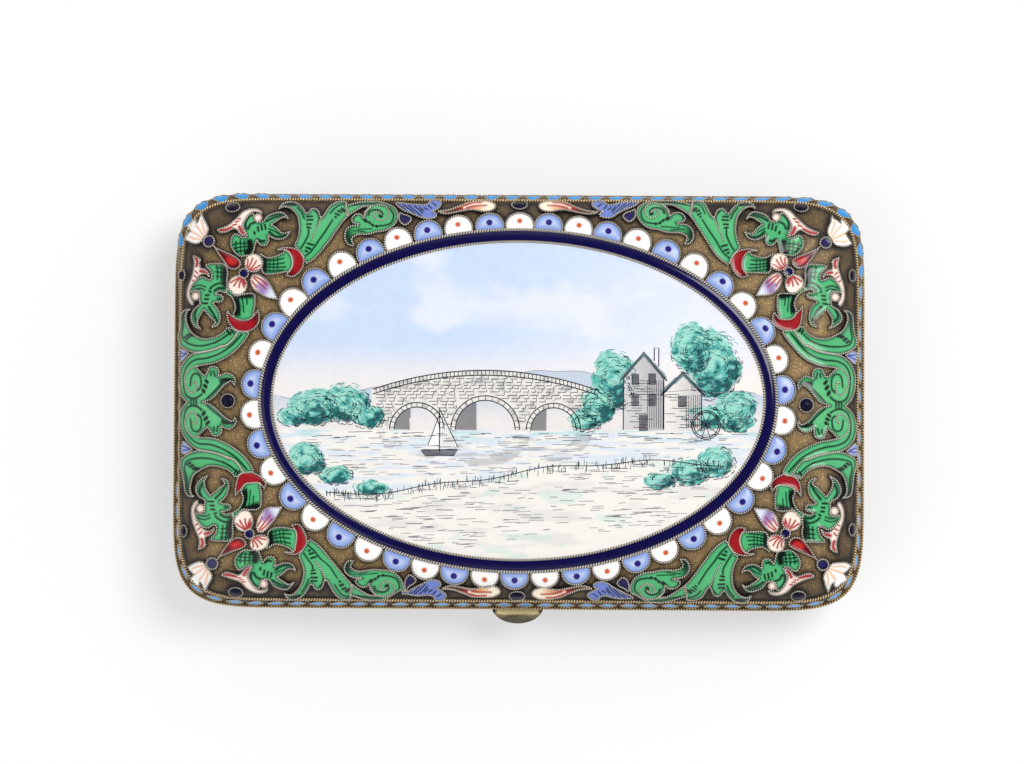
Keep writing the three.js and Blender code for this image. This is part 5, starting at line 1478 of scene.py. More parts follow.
@dataclass
class ShadeAndTarnish:
    """Painted shade and dark old polish on the ground, beside whatever stands on it."""

    reach: float = 0.4
    clear: float = 0.16
    border: tuple[float, float] = (2.2, 8.0)
    close_share: float = 0.88
    border_share: float = 0.58
    cloud_share: float = 0.45
    cloud_size: float = 5.0
    cloud_seed: int = 17
    side_height: float = 4.5
    side_value: float = 0.85
    lines: dict[Side, list[Array]] = field(default_factory=lambda: {side: [] for side in Side})

    def beside(self, side: Side, plan: Array) -> None:
        """Notes a line of something that stands on a half's face."""
        self.lines[side].append(plan)

    def paint(self, shell: Piece, side: Side) -> None:
        """Paints shade on a shell beside the noted lines, and darkens it towards its border and on its side.

        Args:
            shell: The shell's object.
            side: Which half it is.
        """
        places = np.vstack(self.lines[side])
        tree = KDTree(len(places))
        for index, (x, y) in enumerate(places):
            tree.insert((x, y, 0), index)
        tree.balance()
        x, y, z = values_of(shell.data.vertices, "co").T / MM
        away = np.array([tree.find((a, b, 0))[2] for a, b in zip(x, y)])
        # Painted shade: the ground darkens close beside the wires, cells and beads that stand on it
        close = np.exp(-np.maximum(away - self.clear, 0) / self.reach)
        border = 1 - rise(*self.border, FORM.inset(x, y))
        clouds = noise(x, y, self.cloud_size, self.cloud_seed) - 0.5
        value = self.close_share * close + self.border_share * border + self.cloud_share * clouds
        value = np.where(np.abs(z - FORM.parting) < self.side_height, self.side_value, np.clip(value, 0, 1))
        shell.data.attributes["groove"].data.foreach_set("value", value.astype(np.float32))


@dataclass
class Filling:
    """The net of one enamel cell in plan."""

    points: Array
    faces: Array
    rim: Array
    gap: Array

    @classmethod
    def of(cls, line: Array, spacing: float) -> "Filling":
        """Fills an outline with a fine net of points.

        Args:
            line: The outline in plan.
            spacing: Step of the net in millimetres.

        Returns:
            The filling.
        """
        edge = resampled(line, max(8, round(length_of(line, True) / spacing)), True)
        low, high = edge.min(0), edge.max(0)
        net = []
        for k, y in enumerate(np.arange(low[1], high[1], spacing * 0.866)):
            x = np.arange(low[0] + (k % 2) * spacing / 2, high[0], spacing)
            net.append(np.column_stack([x, np.full(len(x), y)]))
        dots = np.vstack(net)
        dots = dots[inside(dots, edge)]
        dots = dots[gap_to(dots, edge, True) > spacing * 0.55] if len(dots) else dots
        count = len(edge)
        made = delaunay_2d_cdt([Vector(p) for p in np.vstack([edge, dots])], [], [list(range(count))], 1, 1e-6)
        plan = np.array([tuple(p) for p in made[0]])
        faces = np.array([f for f in made[2] if len(f) == 3])
        rim_of = [-1] * count
        for index, sources in enumerate(made[3]):
            for source in sources:
                if source < count:
                    rim_of[source] = index
        rim = np.array([r for r in rim_of if r >= 0])
        first, second = plan[faces[:, 1]] - plan[faces[:, 0]], plan[faces[:, 2]] - plan[faces[:, 0]]
        area = first[:, 0] * second[:, 1] - first[:, 1] * second[:, 0]
        faces[area < 0] = faces[area < 0][:, ::-1]
        turn = np.sum(edge[:, 0] * np.roll(edge[:, 1], -1) - np.roll(edge[:, 0], -1) * edge[:, 1])
        rim = rim[::-1] if turn < 0 else rim
        return cls(plan, faces, rim, gap_to(plan, *opened(line)))

    def place(
        self, sheet: Sheet, side: Side, plan: Array, paint: Array, mirrored: bool, top: float = 0.4,
        dip: float = 0.07, soft: float = 0.6,
    ) -> None:
        """Lays the filling on a half's face as a closed body.

        Args:
            sheet: Mesh that it is added to.
            side: The half that carries it.
            plan: Where its points lie.
            paint: Linear colour per point.
            mirrored: Whether the plan is a mirror image.
            top: Lift of the enamel at its wire.
            dip: How far the enamel sinks between its wires, or below 0 how far it swells.
            soft: Distance from the wire over which it sinks.
        """
        upper = FORM.lay(side, plan, top - dip * rise(0, soft, self.gap))
        foot = FORM.lay(side, plan, ROOT)
        count, rim = len(plan), self.rim
        wall = np.column_stack([rim, rim + count, np.roll(rim, -1) + count, np.roll(rim, -1)])
        faces = [self.faces, wall, self.faces[:, ::-1] + count]
        if mirrored != (side is Side.BASE):
            faces = [block[:, ::-1] for block in faces]
        sheet.add(np.vstack([upper, foot]), faces, paint=np.vstack([paint, paint]))


def fine_wire(
    sheet: Sheet, side: Side, plan: Array, closed: bool, lift: float = 0.34, wire: TwistedWire = FINE_WIRE
) -> None:
    """Lays a fine twisted wire on a half's face.

    Args:
        sheet: Mesh that it is added to.
        side: The half that carries it.
        plan: Its line in plan.
        closed: Whether it runs round to its start.
        lift: Height of its middle off the face.
        wire: The wire.
    """
    wire.lay(sheet, FORM.lay(side, plan, lift), FORM.upward(side, plan), closed)


@dataclass
class Scrollwork:
    """Raised enamel cells and their twisted wires in the four corners."""

    shade_and_tarnish: ShadeAndTarnish
    motifs: tuple[Motif, ...] = (FLOWER, TULIP, LONG_SCROLL, END_SCROLL)
    spacing: float = 0.13

    def build(self) -> None:
        """Makes every motif in every corner."""
        for motif in self.motifs:
            fillings = [Filling.of(cell.line(), self.spacing) for cell in motif.cells]
            paints = [cell.painted(made.points, made.gap) for cell, made in zip(motif.cells, fillings)]
            lines = [opened(cell.line()) for cell in motif.cells]
            lines += [(drawn(text, closed=False), False) for text in motif.wires]
            for hand in HANDS:
                enamel, wires = Sheet(), Sheet()
                for filling, paint in zip(fillings, paints):
                    filling.place(enamel, Side.LID, hand.laid(filling.points), paint, hand.mirrored)
                for line, closed in lines:
                    plan = hand.laid(line)
                    self.shade_and_tarnish.beside(Side.LID, plan)
                    fine_wire(wires, Side.LID, plan, closed)
                made = enamel.piece(f"{motif.name}_enamel_{hand.name}")
                dressed(made, PAINTED, "lid", (f"{motif.node}_{hand.name}",))
                dressed(wires.piece(f"{motif.name}_wire_{hand.name}"), SILVER_WIRE, "lid")
            LOG.info("%s laid in four corners", motif.name)


@dataclass
class Beads:
    """Small domed navy beads in twisted collars."""

    shade_and_tarnish: ShadeAndTarnish
    height: float = 0.62
    rows: int = 9
    sides: int = 32

    def dome(self, sheet: Sheet, x: float, y: float, a: float, b: float) -> None:
        """Adds one domed bead to a sheet.

        Args:
            sheet: The sheet.
            x: Its middle along X.
            y: Its middle along Y.
            a: Half its length along X.
            b: Half its length along Y.
        """
        rings = [FORM.lay(Side.LID, circle(x, y, a, b, self.sides), ROOT)]
        for share in np.linspace(0, 1, self.rows):
            size = math.cos(share * math.pi / 2 * 0.96)
            plan = circle(x, y, a * size, b * size, self.sides)
            rings.append(FORM.lay(Side.LID, plan, self.height * math.sin(share * math.pi / 2)))
        points = np.vstack(rings)
        ring = np.arange(self.sides)[None, :]
        skin = grid_faces(self.rows + 1, self.sides, False, True)[:, ::-1]
        faces = [skin, ring[:, ::-1], ring + self.rows * self.sides]
        sheet.add(points, faces, paint=Tint.NAVY.over(points))

    def set(self, glass: Sheet, collar: Sheet, x: float, y: float, a: float, b: float) -> None:
        """Adds a bead and its collar to their sheets.

        Args:
            glass: Sheet of the beads.
            collar: Sheet of the collars.
            x: Its middle along X.
            y: Its middle along Y.
            a: Half its length along X.
            b: Half its length along Y.
        """
        self.dome(glass, x, y, a, b)
        plan = circle(x, y, a + 0.1, b + 0.1, 60)
        self.shade_and_tarnish.beside(Side.LID, plan)
        fine_wire(collar, Side.LID, plan, True, 0.16, COLLAR_WIRE)

    def build(self) -> None:
        """Makes the middle beads and the shoulder beads."""
        for name, *sizes in MIDDLE_BEADS:
            glass, collar = Sheet(), Sheet()
            self.set(glass, collar, *sizes)
            dressed(glass.piece(f"{name}_glass"), BEAD, "lid", (name,))
            dressed(collar.piece(f"{name}_collar"), SILVER_WIRE, "lid")
        glass, collar = Sheet(), Sheet()
        for hand in HANDS:
            for x, y, a, b in SHOULDER_BEADS:
                place = hand.laid(np.array([[x, y]]))[0]
                self.set(glass, collar, float(place[0]), float(place[1]), a, b)
        dressed(glass.piece("shoulder_beads"), BEAD, "lid")
        dressed(collar.piece("shoulder_bead_collars"), SILVER_WIRE, "lid")
        LOG.info("beads set")


@dataclass
class OvalFrame:
    """Ropes, navy band and scallops round the picture."""

    shade_and_tarnish: ShadeAndTarnish
    a: float = 39.75
    b: float = 26.38
    width: float = 1.9
    lobe_reach: float = 2.62
    rope_lift: float = 0.4
    band_margin: float = 0.16
    band_lift: float = 0.3
    band_crown: float = 0.2
    spacing: float = 0.13

    def oval(self, margin: float, steps: int = 400) -> Array:
        """Plan points of an oval a margin outside the outer rope's line."""
        return circle(0, 0, self.a + margin, self.b + margin, steps)

    def rope(self, name: str, margin: float, wire: TwistedWire, lift: float, node: str) -> None:
        """Makes one twisted rope of the frame.

        Args:
            name: Name of the piece.
            margin: Distance of its line outside the outer rope's.
            wire: The wire that it is twisted of.
            lift: Height of its middle off the face.
            node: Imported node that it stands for.
        """
        plan = self.oval(margin)
        self.shade_and_tarnish.beside(Side.LID, self.oval(margin, 1600))
        sheet = Sheet()
        wire.lay(sheet, FORM.lay(Side.LID, plan, lift), FORM.upward(Side.LID, plan), True)
        dressed(sheet.piece(name), SILVER_WIRE, "lid", (node,))

    def navy_band(self) -> None:
        """Makes the navy band between the ropes, crowned along its middle."""
        margins = np.linspace(-self.band_margin, -self.width + self.band_margin, 13)
        half = self.width / 2
        lifts = [self.band_lift + self.band_crown * (1 - ((m + half) / half) ** 2) for m in margins]
        rows = [FORM.lay(Side.LID, self.oval(m, 240), lift) for m, lift in zip(margins, lifts)]
        rows += [FORM.lay(Side.LID, self.oval(m, 240), ROOT) for m in (margins[-1], margins[0])]
        made = Bench.hoop("plaque_navy_enamel", np.stack(rows, axis=1))
        Bench.smooth(made, 40)
        dressed(made, NAVY, "lid", ("plaque_navy_band",))

    def along(self, shares: Array) -> tuple[Array, Array]:
        """Points of the outer rope's line.

        Args:
            shares: Shares of its length from the middle of the back edge, anticlockwise.

        Returns:
            Plan points, and the outward normals there.
        """
        fine = self.oval(0, 4000)
        line = np.vstack([fine, fine[:1]])
        run = run_along(line)
        at = ((0.25 + shares) % 1) * run[-1]
        point = np.column_stack([np.interp(at, run, line[:, k]) for k in (0, 1)])
        normal = point / (self.a**2, self.b**2)
        return point, unit(normal)

    def lobe_paint(self, points: Array, gap: Array, dot: float, blue: bool) -> Array:
        """Colours of one lobe.

        Args:
            points: Points with X along the rope and Y away from it.
            gap: Their distances from the wire.
            dot: How far the dot stands off the rope.
            blue: Whether the lobe is blue, with an indigo dot, or white, with an orange one.

        Returns:
            Linear colours.
        """
        field_tint, edge, spot = (
            (Tint.PALE_BLUE, Tint.FEATHER, Tint.INDIGO) if blue else (Tint.WHITE, Tint.WHITE, Tint.DOT_ORANGE)
        )
        radius, soft = (0.49, 0.06) if blue else (0.4, 0.14)
        base = blend(field_tint.over(points), edge.linear, 0.55 * (1 - rise(0.08, 0.3, gap)))
        base = blend(base, Tint.WHITE.linear, 0.3 * rise(0.4, 0.9, gap) * blue)
        away = np.hypot(points[:, 0], points[:, 1] - dot)
        return blend(base, spot.linear, 1 - rise(radius - soft, radius + soft, away))

    def scallop_border(self) -> None:
        """Makes the lobes, each a white or blue enamel with its dot, and their wire."""
        pitch = length_of(self.oval(0), True) / len(LOBES)
        enamel, wires = Sheet(), Sheet()
        lobe = Filling.of(
            drawn("-1.95 0.2*, -2.02 0.8, -1.8 1.5, -1.25 2.2, 0 2.62, 1.25 2.2, 1.8 1.5, 2.02 0.8, 1.95 0.2*"),
            self.spacing,
        )
        arch = drawn("-2.02 0.1, -2.12 0.8, -1.9 1.58, -1.32 2.32, 0 2.76, 1.32 2.32, 1.9 1.58, 2.12 0.8, 2.02 0.1",
                     closed=False)
        for index, (shift, dot, reach) in enumerate(LOBES):
            stretch = np.array([1, reach / self.lobe_reach])
            plans = []
            for local in (lobe.points * stretch, arch * stretch):
                point, normal = self.along((index + (shift - local[:, 0]) / pitch) / len(LOBES))
                plans.append(point + normal * local[:, 1:])
            paint = self.lobe_paint(lobe.points * stretch, lobe.gap, dot, index % 2 == 1)
            lobe.place(enamel, Side.LID, plans[0], paint, False, 0.36, -0.14, 0.9)
            self.shade_and_tarnish.beside(Side.LID, plans[1])
            fine_wire(wires, Side.LID, plans[1], False, 0.34)
        dressed(enamel.piece("scallop_enamel"), PAINTED, "lid", ("scallop_border",))
        dressed(wires.piece("scallop_wire"), SILVER_WIRE, "lid")

    def build(self) -> None:
        """Makes the whole frame."""
        self.rope("plaque_outer_twist", 0, FRAME_WIRE, self.rope_lift, "plaque_outer_rope")
        self.rope("plaque_inner_twist", -self.width, INNER_WIRE, self.rope_lift, "plaque_inner_rope")
        self.navy_band()
        self.scallop_border()
        LOG.info("oval frame laid")


@dataclass(frozen=True)
class Stroke:
    """One painted line of the view: its width, its tint and its points."""

    width: float
    tint: Tint
    points: Array


@dataclass
class LakeView:
    """The plaque's painted view: a stone bridge, a mill and a sailing boat."""

    a: float = 37.75
    b: float = 24.38
    columns: int = 350
    rows: int = 226
    water_line: float = -4.6
    bank_line: float = -12.0
    strokes: list[Stroke] = field(default_factory=list)

    def ridge(self, x: Array) -> Array:
        """Skyline of the far hills."""
        return 2.4 + 1.7 * np.sin(x / 11 + 1.2) + 0.6 * np.sin(x / 4.3) + 0.2 * np.sin(x / 1.3)

    def deck(self, x: Array) -> Array:
        """Top of the bridge's parapet."""
        return 1.0 + 3.6 * (1 - ((x + 5) / 19) ** 2)

    def bank(self, x: Array) -> Array:
        """Edge of the near bank."""
        return self.bank_line + 0.05 * (x + 6) + 1.5 * np.sin(x / 13 + 0.4) + 0.3 * np.sin(x / 2.7)

    def arches(self) -> tuple[tuple[float, float], ...]:
        """Middles and radii of the bridge's arches."""
        return ((-15.5, 3.5), (-5.0, 4.6), (5.5, 3.5))

    def houses(self) -> tuple[tuple[float, float, float, float, float, Tint], ...]:
        """Left, right, foot, eave, peak and tint of the mill's two houses."""
        return ((16.2, 22.4, -4.4, 3.4, 7.2, Tint.STONE), (22.4, 28.2, -4.4, 1.2, 4.2, Tint.CREAM))

    def panes(self) -> tuple[tuple[float, float, float, float], ...]:
        """Middles and half sizes of the mill's windows and door."""
        return ((18.0, 3.4, 0.5, 0.8), (20.6, 3.4, 0.5, 0.8), (18.0, 0.2, 0.5, 0.9), (20.6, 0.2, 0.5, 0.9),
                (25.2, 0.0, 0.55, 0.8), (19.3, -3.3, 0.6, 1.2))

    def crowns(self) -> tuple[tuple[float, float, float, float], ...]:
        """Middles and half sizes of the trees and bushes.

        Returns:
            Middle and half sizes of each.
        """
        far = ((-31, -1.2, 4.2, 2.6), (-26.5, -0.6, 3.6, 3.0), (-34.5, -2.6, 2.2, 1.6), (33.5, -1.0, 3.0, 3.0))
        tall = ((14.6, 3.2, 3.2, 4.6), (30.0, 5.6, 4.0, 5.2), (26.6, 8.2, 3.0, 3.8), (12.2, -0.8, 2.6, 2.8))
        low = ((-23.2, -2.6, 2.6, 1.7), (10.4, -3.0, 2.4, 1.6), (29.0, -2.6, 3.4, 1.8), (33.6, -3.2, 2.6, 1.5))
        near = ((-32.4, -9.2, 2.8, 2.4), (-28.2, -11.6, 2.6, 1.5), (26.4, -10.8, 3.2, 2.0), (30.6, -9.4, 2.8, 2.4),
                (22.0, -12.2, 2.4, 1.2), (-22.4, -13.6, 2.6, 1.1))
        return far + tall + low + near

    def colours(self, x: Array, y: Array) -> Array:
        """Paints every point of the plaque.

        Args:
            x: Places along X.
            y: Places along Y.

        Returns:
            Linear colours.
        """
        clouds = noise(x * 0.55 + 4, y * 1.3, 9, 3, 4)
        colour = Tint.SKY.over(x)
        colour = blend(colour, Tint.HAZE.linear, rise(-24, 26, x - y * 0.9) * 0.85)
        colour = blend(colour, Tint.HAZE.linear, rise(0.5, 0.68, clouds) * 0.7)
        colour = blend(colour, Tint.WARM.linear, rise(10, 2, y) * 0.75)
        hill = rise(0.12, -0.12, y - self.ridge(x))
        tone = blend(Tint.HILL.over(x), Tint.WARM.linear, rise(1.5, -3.5, y) * 0.7)
        colour = blend(colour, tone, hill * 0.8)
        water = rise(self.water_line + 0.1, self.water_line - 0.1, y)
        ripple = noise(x * 0.35, y * 3.2, 1.6, 21)
        tone = blend(Tint.WATER.over(x), Tint.CREAM.linear, rise(0.36, 0.6, ripple))
        tone = blend(tone, Tint.LEAF_LIGHT.linear, rise(-7, self.water_line, y) * rise(0.42, 0.3, ripple) * 0.5)
        colour = blend(colour, tone, water)
        colour = self.bridge(colour, x, y)
        crowns = self.crowns()
        for k, crown in enumerate(crowns[:12]):
            colour = self.leaves(colour, x, y, crown, 40 + 3 * k)
        colour = self.mill(colour, x, y)
        cover = rise(0.12, -0.12, y - self.bank(x))
        tone = Tint.CREAM.over(x)
        tone = blend(tone, Tint.STONE.linear, rise(0.5, 0.72, noise(x * 0.3, y * 2.2, 2.0, 61)) * 0.5)
        tone = blend(tone, Tint.LEAF_LIGHT.linear, rise(0.6, 0.72, noise(x * 0.6, y * 1.6, 2.6, 71)) * 0.25)
        colour = blend(colour, tone, cover)
        for k, crown in enumerate(crowns[12:]):
            colour = self.leaves(colour, x, y, crown, 90 + 3 * k)
        return self.boat(colour, x, y)

    def bridge(self, colour: Array, x: Array, y: Array) -> Array:
        """Paints the stone bridge and its shadow on the water.

        Args:
            colour: Linear colours so far.
            x: Places along X.
            y: Places along Y.

        Returns:
            The new colours.
        """
        wall = (np.abs(x + 5) < 17.5) & (y < self.deck(x)) & (y > self.water_line)
        shade = Tint.CREAM.over(x)
        shade = blend(shade, Tint.STONE_SHADE.linear, 0.1 + 0.5 * rise(0.45, 0.8, noise(x * 2, y * 3, 1.6, 5)))
        for middle, radius in self.arches():
            reach = np.hypot(x - middle, y - self.water_line)
            wall &= reach > radius
            under = (reach < radius) & (x < middle - radius * 0.3) & (y > self.water_line)
            colour = blend(colour, Tint.INK.linear, under * 0.7)
            mirrored = np.hypot(x - middle, (y - self.water_line) * 1.25)
            dark = (mirrored > radius) & (mirrored < radius + 2.4) & (y < self.water_line)
            streak = noise(x * 0.4, y * 4, 1.3, 31)
            colour = blend(colour, Tint.STONE_SHADE.linear, dark * rise(0.4, 0.6, streak) * 0.45)
        return blend(colour, shade, wall)

    def leaves(self, colour: Array, x: Array, y: Array, crown: tuple[float, float, float, float], seed: int) -> Array:
        """Paints one leafy crown.

        Args:
            colour: Linear colours so far.
            x: Places along X.
            y: Places along Y.
            crown: Its middle and half sizes.
            seed: Start of its noise.

        Returns:
            The new colours.
        """
        cx, cy, rx, ry = crown
        reach = np.hypot((x - cx) / rx, (y - cy) / ry) + 0.55 * (noise(x, y, 1.5, seed) - 0.5)
        light = noise(x, y * 1.2, 0.9, seed + 1, 2) + 0.28 * (y - cy) / ry - 0.18 * (x - cx) / rx
        tone = blend(Tint.LEAF.over(x), Tint.LEAF_LIGHT.linear, rise(0.42, 0.62, light))
        tone = blend(tone, Tint.LEAF_DARK.linear, rise(0.4, 0.24, light))
        return blend(colour, tone, rise(1.04, 0.94, reach))

    def mill(self, colour: Array, x: Array, y: Array) -> Array:
        """Paints the mill house with its two gables.

        Args:
            colour: Linear colours so far.
            x: Places along X.
            y: Places along Y.

        Returns:
            The new colours.
        """
        for left, right, foot, eave, peak, tint in self.houses():
            middle, half = (left + right) / 2, (right - left) / 2
            lean = 1 - np.abs(x - middle) / half
            wall = (x > left) & (x < right) & (y > foot) & (y < eave + (peak - eave) * lean)
            front = tint.over(x)
            front = blend(front, Tint.STONE_SHADE.linear, 0.4 * rise(left, right, x) + 0.15 * noise(x, y, 0.8, 12))
            colour = blend(colour, front, wall)
            edge = eave + (peak - eave) * (1 - np.abs(x - middle) / (half + 0.5))
            roof = (np.abs(x - middle) < half + 0.5) & (np.abs(y - edge) < 0.42)
            colour = blend(colour, Tint.ROOF.linear, roof * 0.95)
        for px, py, w, h in self.panes():
            colour = blend(colour, Tint.INK.linear, ((np.abs(x - px) < w) & (np.abs(y - py) < h)) * 0.8)
        return colour

    def boat(self, colour: Array, x: Array, y: Array) -> Array:
        """Paints the sailing boat.

        Args:
            colour: Linear colours so far.
            x: Places along X.
            y: Places along Y.

        Returns:
            The new colours.
        """
        hull = (np.abs(x + 12) < 2.6 - 0.5 * (-7.8 - y)) & (y < -7.6) & (y > -8.5)
        colour = blend(colour, Tint.INK.linear, hull * 0.8)
        sail = (x > -11.9) & (y > -7.2) & (y < -1.6) & (x < -11.9 + 2.7 * (-1.6 - y) / 5.6)
        jib = (x < -12.1) & (y > -7.0) & (y < -2.4) & (x > -12.1 - 1.7 * (-2.4 - y) / 4.6)
        return blend(colour, Tint.WHITE.linear, sail | jib)

    def mark(self, width: float, points: list[tuple[float, float]], tint: Tint = Tint.INK) -> None:
        """Notes one painted line.

        Args:
            width: Its width in millimetres.
            points: Its points in plan.
            tint: Its tint.
        """
        self.strokes.append(Stroke(width, tint, np.array(points, float)))

    def stonework(self, draw: np.random.Generator) -> None:
        """Notes the lines of the bridge and the mill.

        Args:
            draw: Source of the random draws.
        """
        deck = np.linspace(-22.3, 12.3, 60)
        for drop in (0, 0.75):
            self.mark(0.17, [(x, float(self.deck(x)) - drop) for x in deck])
        for x in np.arange(-21.8, 12.2, 0.6):
            top = float(self.deck(x))
            self.mark(0.11, [(x, top), (x, top - 0.75)])
        for middle, radius in self.arches():
            for extra in (0.0, 0.7):
                self.mark(0.16, [(middle + (radius + extra) * math.cos(t), self.water_line + (radius + extra)
                                  * math.sin(t)) for t in np.linspace(0.02, math.pi - 0.02, 30)])
            for t in np.linspace(0.1, math.pi - 0.1, 15):
                self.mark(0.1, [(middle + (radius + e) * math.cos(t), self.water_line + (radius + e) * math.sin(t))
                                for e in (0.0, 0.7)])
        for y in np.arange(self.water_line + 0.4, 4.2, 0.5):
            x = -22.0 + draw.random()
            while x < 12:
                end = x + 0.6 + 0.8 * draw.random()
                clear = all(math.hypot((x + end) / 2 - m, y - self.water_line) > r + 1.1 for m, r in self.arches())
                if clear and y < float(self.deck((x + end) / 2)) - 0.9:
                    self.mark(0.1, [(x, y), (end, y)])
                    self.mark(0.08, [(end, y), (end, y + 0.42)])
                x = end + 0.2 + 0.5 * draw.random()
        for x0, x1, foot, eave, peak, _ in self.houses():
            middle = (x0 + x1) / 2
            self.mark(0.16, [(x0, foot), (x0, eave), (middle, peak), (x1, eave), (x1, foot)])
            self.mark(0.2, [(x0 - 0.5, eave - 0.3), (middle, peak + 0.35), (x1 + 0.5, eave - 0.3)])
            for y in np.arange(foot + 0.4, eave, 0.42):
                start = x0 + 0.2 + draw.random() * 2.4
                self.mark(0.09, [(start, y), (min(start + 1 + draw.random() * 2, x1), y)])
            for x in np.arange(middle + 0.6, x1, 0.34):
                self.mark(0.08, [(x, foot + 0.3), (x, eave - 0.2)])
        for px, py, w, h in self.panes():
            self.mark(0.12, [(px - w, py - h), (px - w, py + h), (px + w, py + h), (px + w, py - h), (px - w, py - h)])
        self.mark(0.17, [(20.9, 6.2), (20.9, 8.2), (21.6, 8.2), (21.6, 5.4)])
        for size in (2.2, 1.9):
            self.mark(0.15, [tuple(p) for p in circle(28.9, -3.6, size)] + [(28.9 + size, -3.6)])
        for t in np.linspace(0, 2 * math.pi, 10, endpoint=False):
            self.mark(0.11, [(28.9, -3.6), (28.9 + 2.2 * math.cos(t), -3.6 + 2.2 * math.sin(t))])

    def foliage(self, draw: np.random.Generator) -> None:
        """Notes the short curled strokes of the leaves, dark below and light above.

        Args:
            draw: Source of the random draws.
        """
        for cx, cy, rx, ry in self.crowns():
            for _ in range(int(15 * rx * ry)):
                t, s = draw.random() * 2 * math.pi, 0.1 + 0.92 * math.sqrt(draw.random())
                px, py = cx + rx * s * math.cos(t), cy + ry * s * math.sin(t)
                lit = (py - cy) / ry - (px - cx) / rx * 0.5 + draw.random() * 1.2 - 0.5
                tint = Tint.INK if lit < -0.5 else Tint.LEAF_DARK if lit < 0.35 else Tint.LEAF
                bend = 0.28 + 0.2 * draw.random()
                turns = np.linspace(t - 1, t + 1.2, 6)
                curl = [(px + bend * math.cos(u), py + 0.7 * bend * math.sin(u)) for u in turns]
                self.mark(0.1, curl, tint)

    def waterside(self, draw: np.random.Generator) -> None:
        """Notes the lines of the boat, the ripples, the banks and the hills.

        Args:
            draw: Source of the random draws.
        """
        self.mark(0.16, [(-12.0, -8.0), (-12.0, -1.2)])
        self.mark(0.13, [(-11.9, -1.6), (-9.2, -7.2), (-11.9, -7.2)])
        self.mark(0.13, [(-12.1, -2.4), (-13.8, -7.0), (-12.1, -7.0)])
        self.mark(0.17, [(-14.8, -7.7), (-14.2, -8.5), (-9.8, -8.5), (-9.2, -7.6), (-14.8, -7.7)])
        for x in np.arange(-11.6, -9.6, 0.3):
            self.mark(0.07, [(x, -7.0), (x, -7.0 + 5.2 * (1 - (x + 11.9) / 2.9))], Tint.STONE_SHADE)
        for _ in range(260):
            y = self.water_line - 0.3 - draw.random() * 6.8
            x = -33 + draw.random() * 66
            if y > float(self.bank(x)) + 0.3:
                tint = Tint.INK if y > self.water_line - 1.6 else Tint.STONE_SHADE
                self.mark(0.08, [(x, y), (x + 0.6 + draw.random() * 2.2, y + 0.04)], tint)
        for _ in range(320):
            x = -31 + draw.random() * 60
            y = float(self.bank(x)) - 0.3 - draw.random() ** 1.3 * 10
            tint = Tint.STONE_SHADE if draw.random() < 0.75 else Tint.INK
            self.mark(0.09, [(x, y), (x + 0.8 + draw.random() * 2.2, y + 0.25 * (draw.random() - 0.3))], tint)
        self.mark(0.14, [(x, float(self.bank(x))) for x in np.linspace(-31.5, 31.5, 90)])
        for _ in range(240):
            x = -32 + draw.random() * 64
            y = float(self.bank(x)) - draw.random() * 1.2
            tint = Tint.LEAF_DARK if draw.random() < 0.6 else Tint.INK
            self.mark(0.09, [(x, y), (x + 0.3 * (draw.random() - 0.5), y + 0.5 + 0.6 * draw.random())], tint)
        self.mark(0.08, [(x, float(self.ridge(x))) for x in np.linspace(-36.5, 36.5, 120)], Tint.STONE_SHADE)
        for _ in range(120):
            x = -36 + draw.random() * 72
            y = float(self.ridge(x)) - 0.2 - 1.8 * draw.random()
            if abs(x + 5) > 18:
                self.mark(0.07, [(x, y), (x + 0.5 + draw.random(), y - 0.25)], Tint.STONE_SHADE)

    def ribbon(self, sheet: Sheet, stroke: Stroke) -> None:
        """Adds one flat line just above the plaque, clear of the frame.

        Args:
            sheet: The sheet of the lines.
            stroke: The line.
        """
        line = stroke.points
        line = line[(line[:, 0] / (self.a - 0.4)) ** 2 + (line[:, 1] / (self.b - 0.4)) ** 2 < 1]
        if len(line) < 2:
            return
        run = unit(np.gradient(line, axis=0))
        across = np.column_stack([-run[:, 1], run[:, 0]]) * stroke.width / 2
        plan = np.stack([line - across, line + across], axis=1).reshape(-1, 2)
        paint = stroke.tint.over(plan)
        sheet.add(FORM.lay(Side.LID, plan, 0.395), [grid_faces(len(line), 2, False, False)[:, ::-1]], paint=paint)

    def build(self) -> None:
        """Makes the plaque and its painted lines."""
        Bench.clear()
        bpy.ops.mesh.primitive_grid_add(x_subdivisions=self.columns, y_subdivisions=self.rows, size=2)
        made = Bench.settle(bpy.context.object, "picture_enamel_plate")
        count = len(made.data.vertices)
        u, v, _ = values_of(made.data.vertices, "co").T
        plan = np.column_stack([self.a * u * np.sqrt(1 - v * v / 2), self.b * v * np.sqrt(1 - u * u / 2)])
        points = FORM.lay(Side.LID, plan, 0.38)
        made.data.vertices.foreach_set("co", (points * MM).astype(np.float32).ravel())
        colour = made.data.attributes.new("paint", "FLOAT_COLOR", "POINT")
        paint = np.column_stack([self.colours(plan[:, 0], plan[:, 1]), np.ones(count)])
        colour.data.foreach_set("color", paint.astype(np.float32).ravel())
        made.data.update()
        Bench.take(made)
        bpy.ops.object.shade_smooth()
        dressed(made, PLAQUE, "lid", ("picture_plaque",))
        draw = np.random.default_rng(11)
        self.stonework(draw)
        self.foliage(draw)
        self.waterside(draw)
        sheet = Sheet()
        for stroke in self.strokes:
            self.ribbon(sheet, stroke)
        dressed(sheet.piece("picture_ink_lines"), INK, "lid")
        LOG.info("picture painted, %d lines", len(self.strokes))


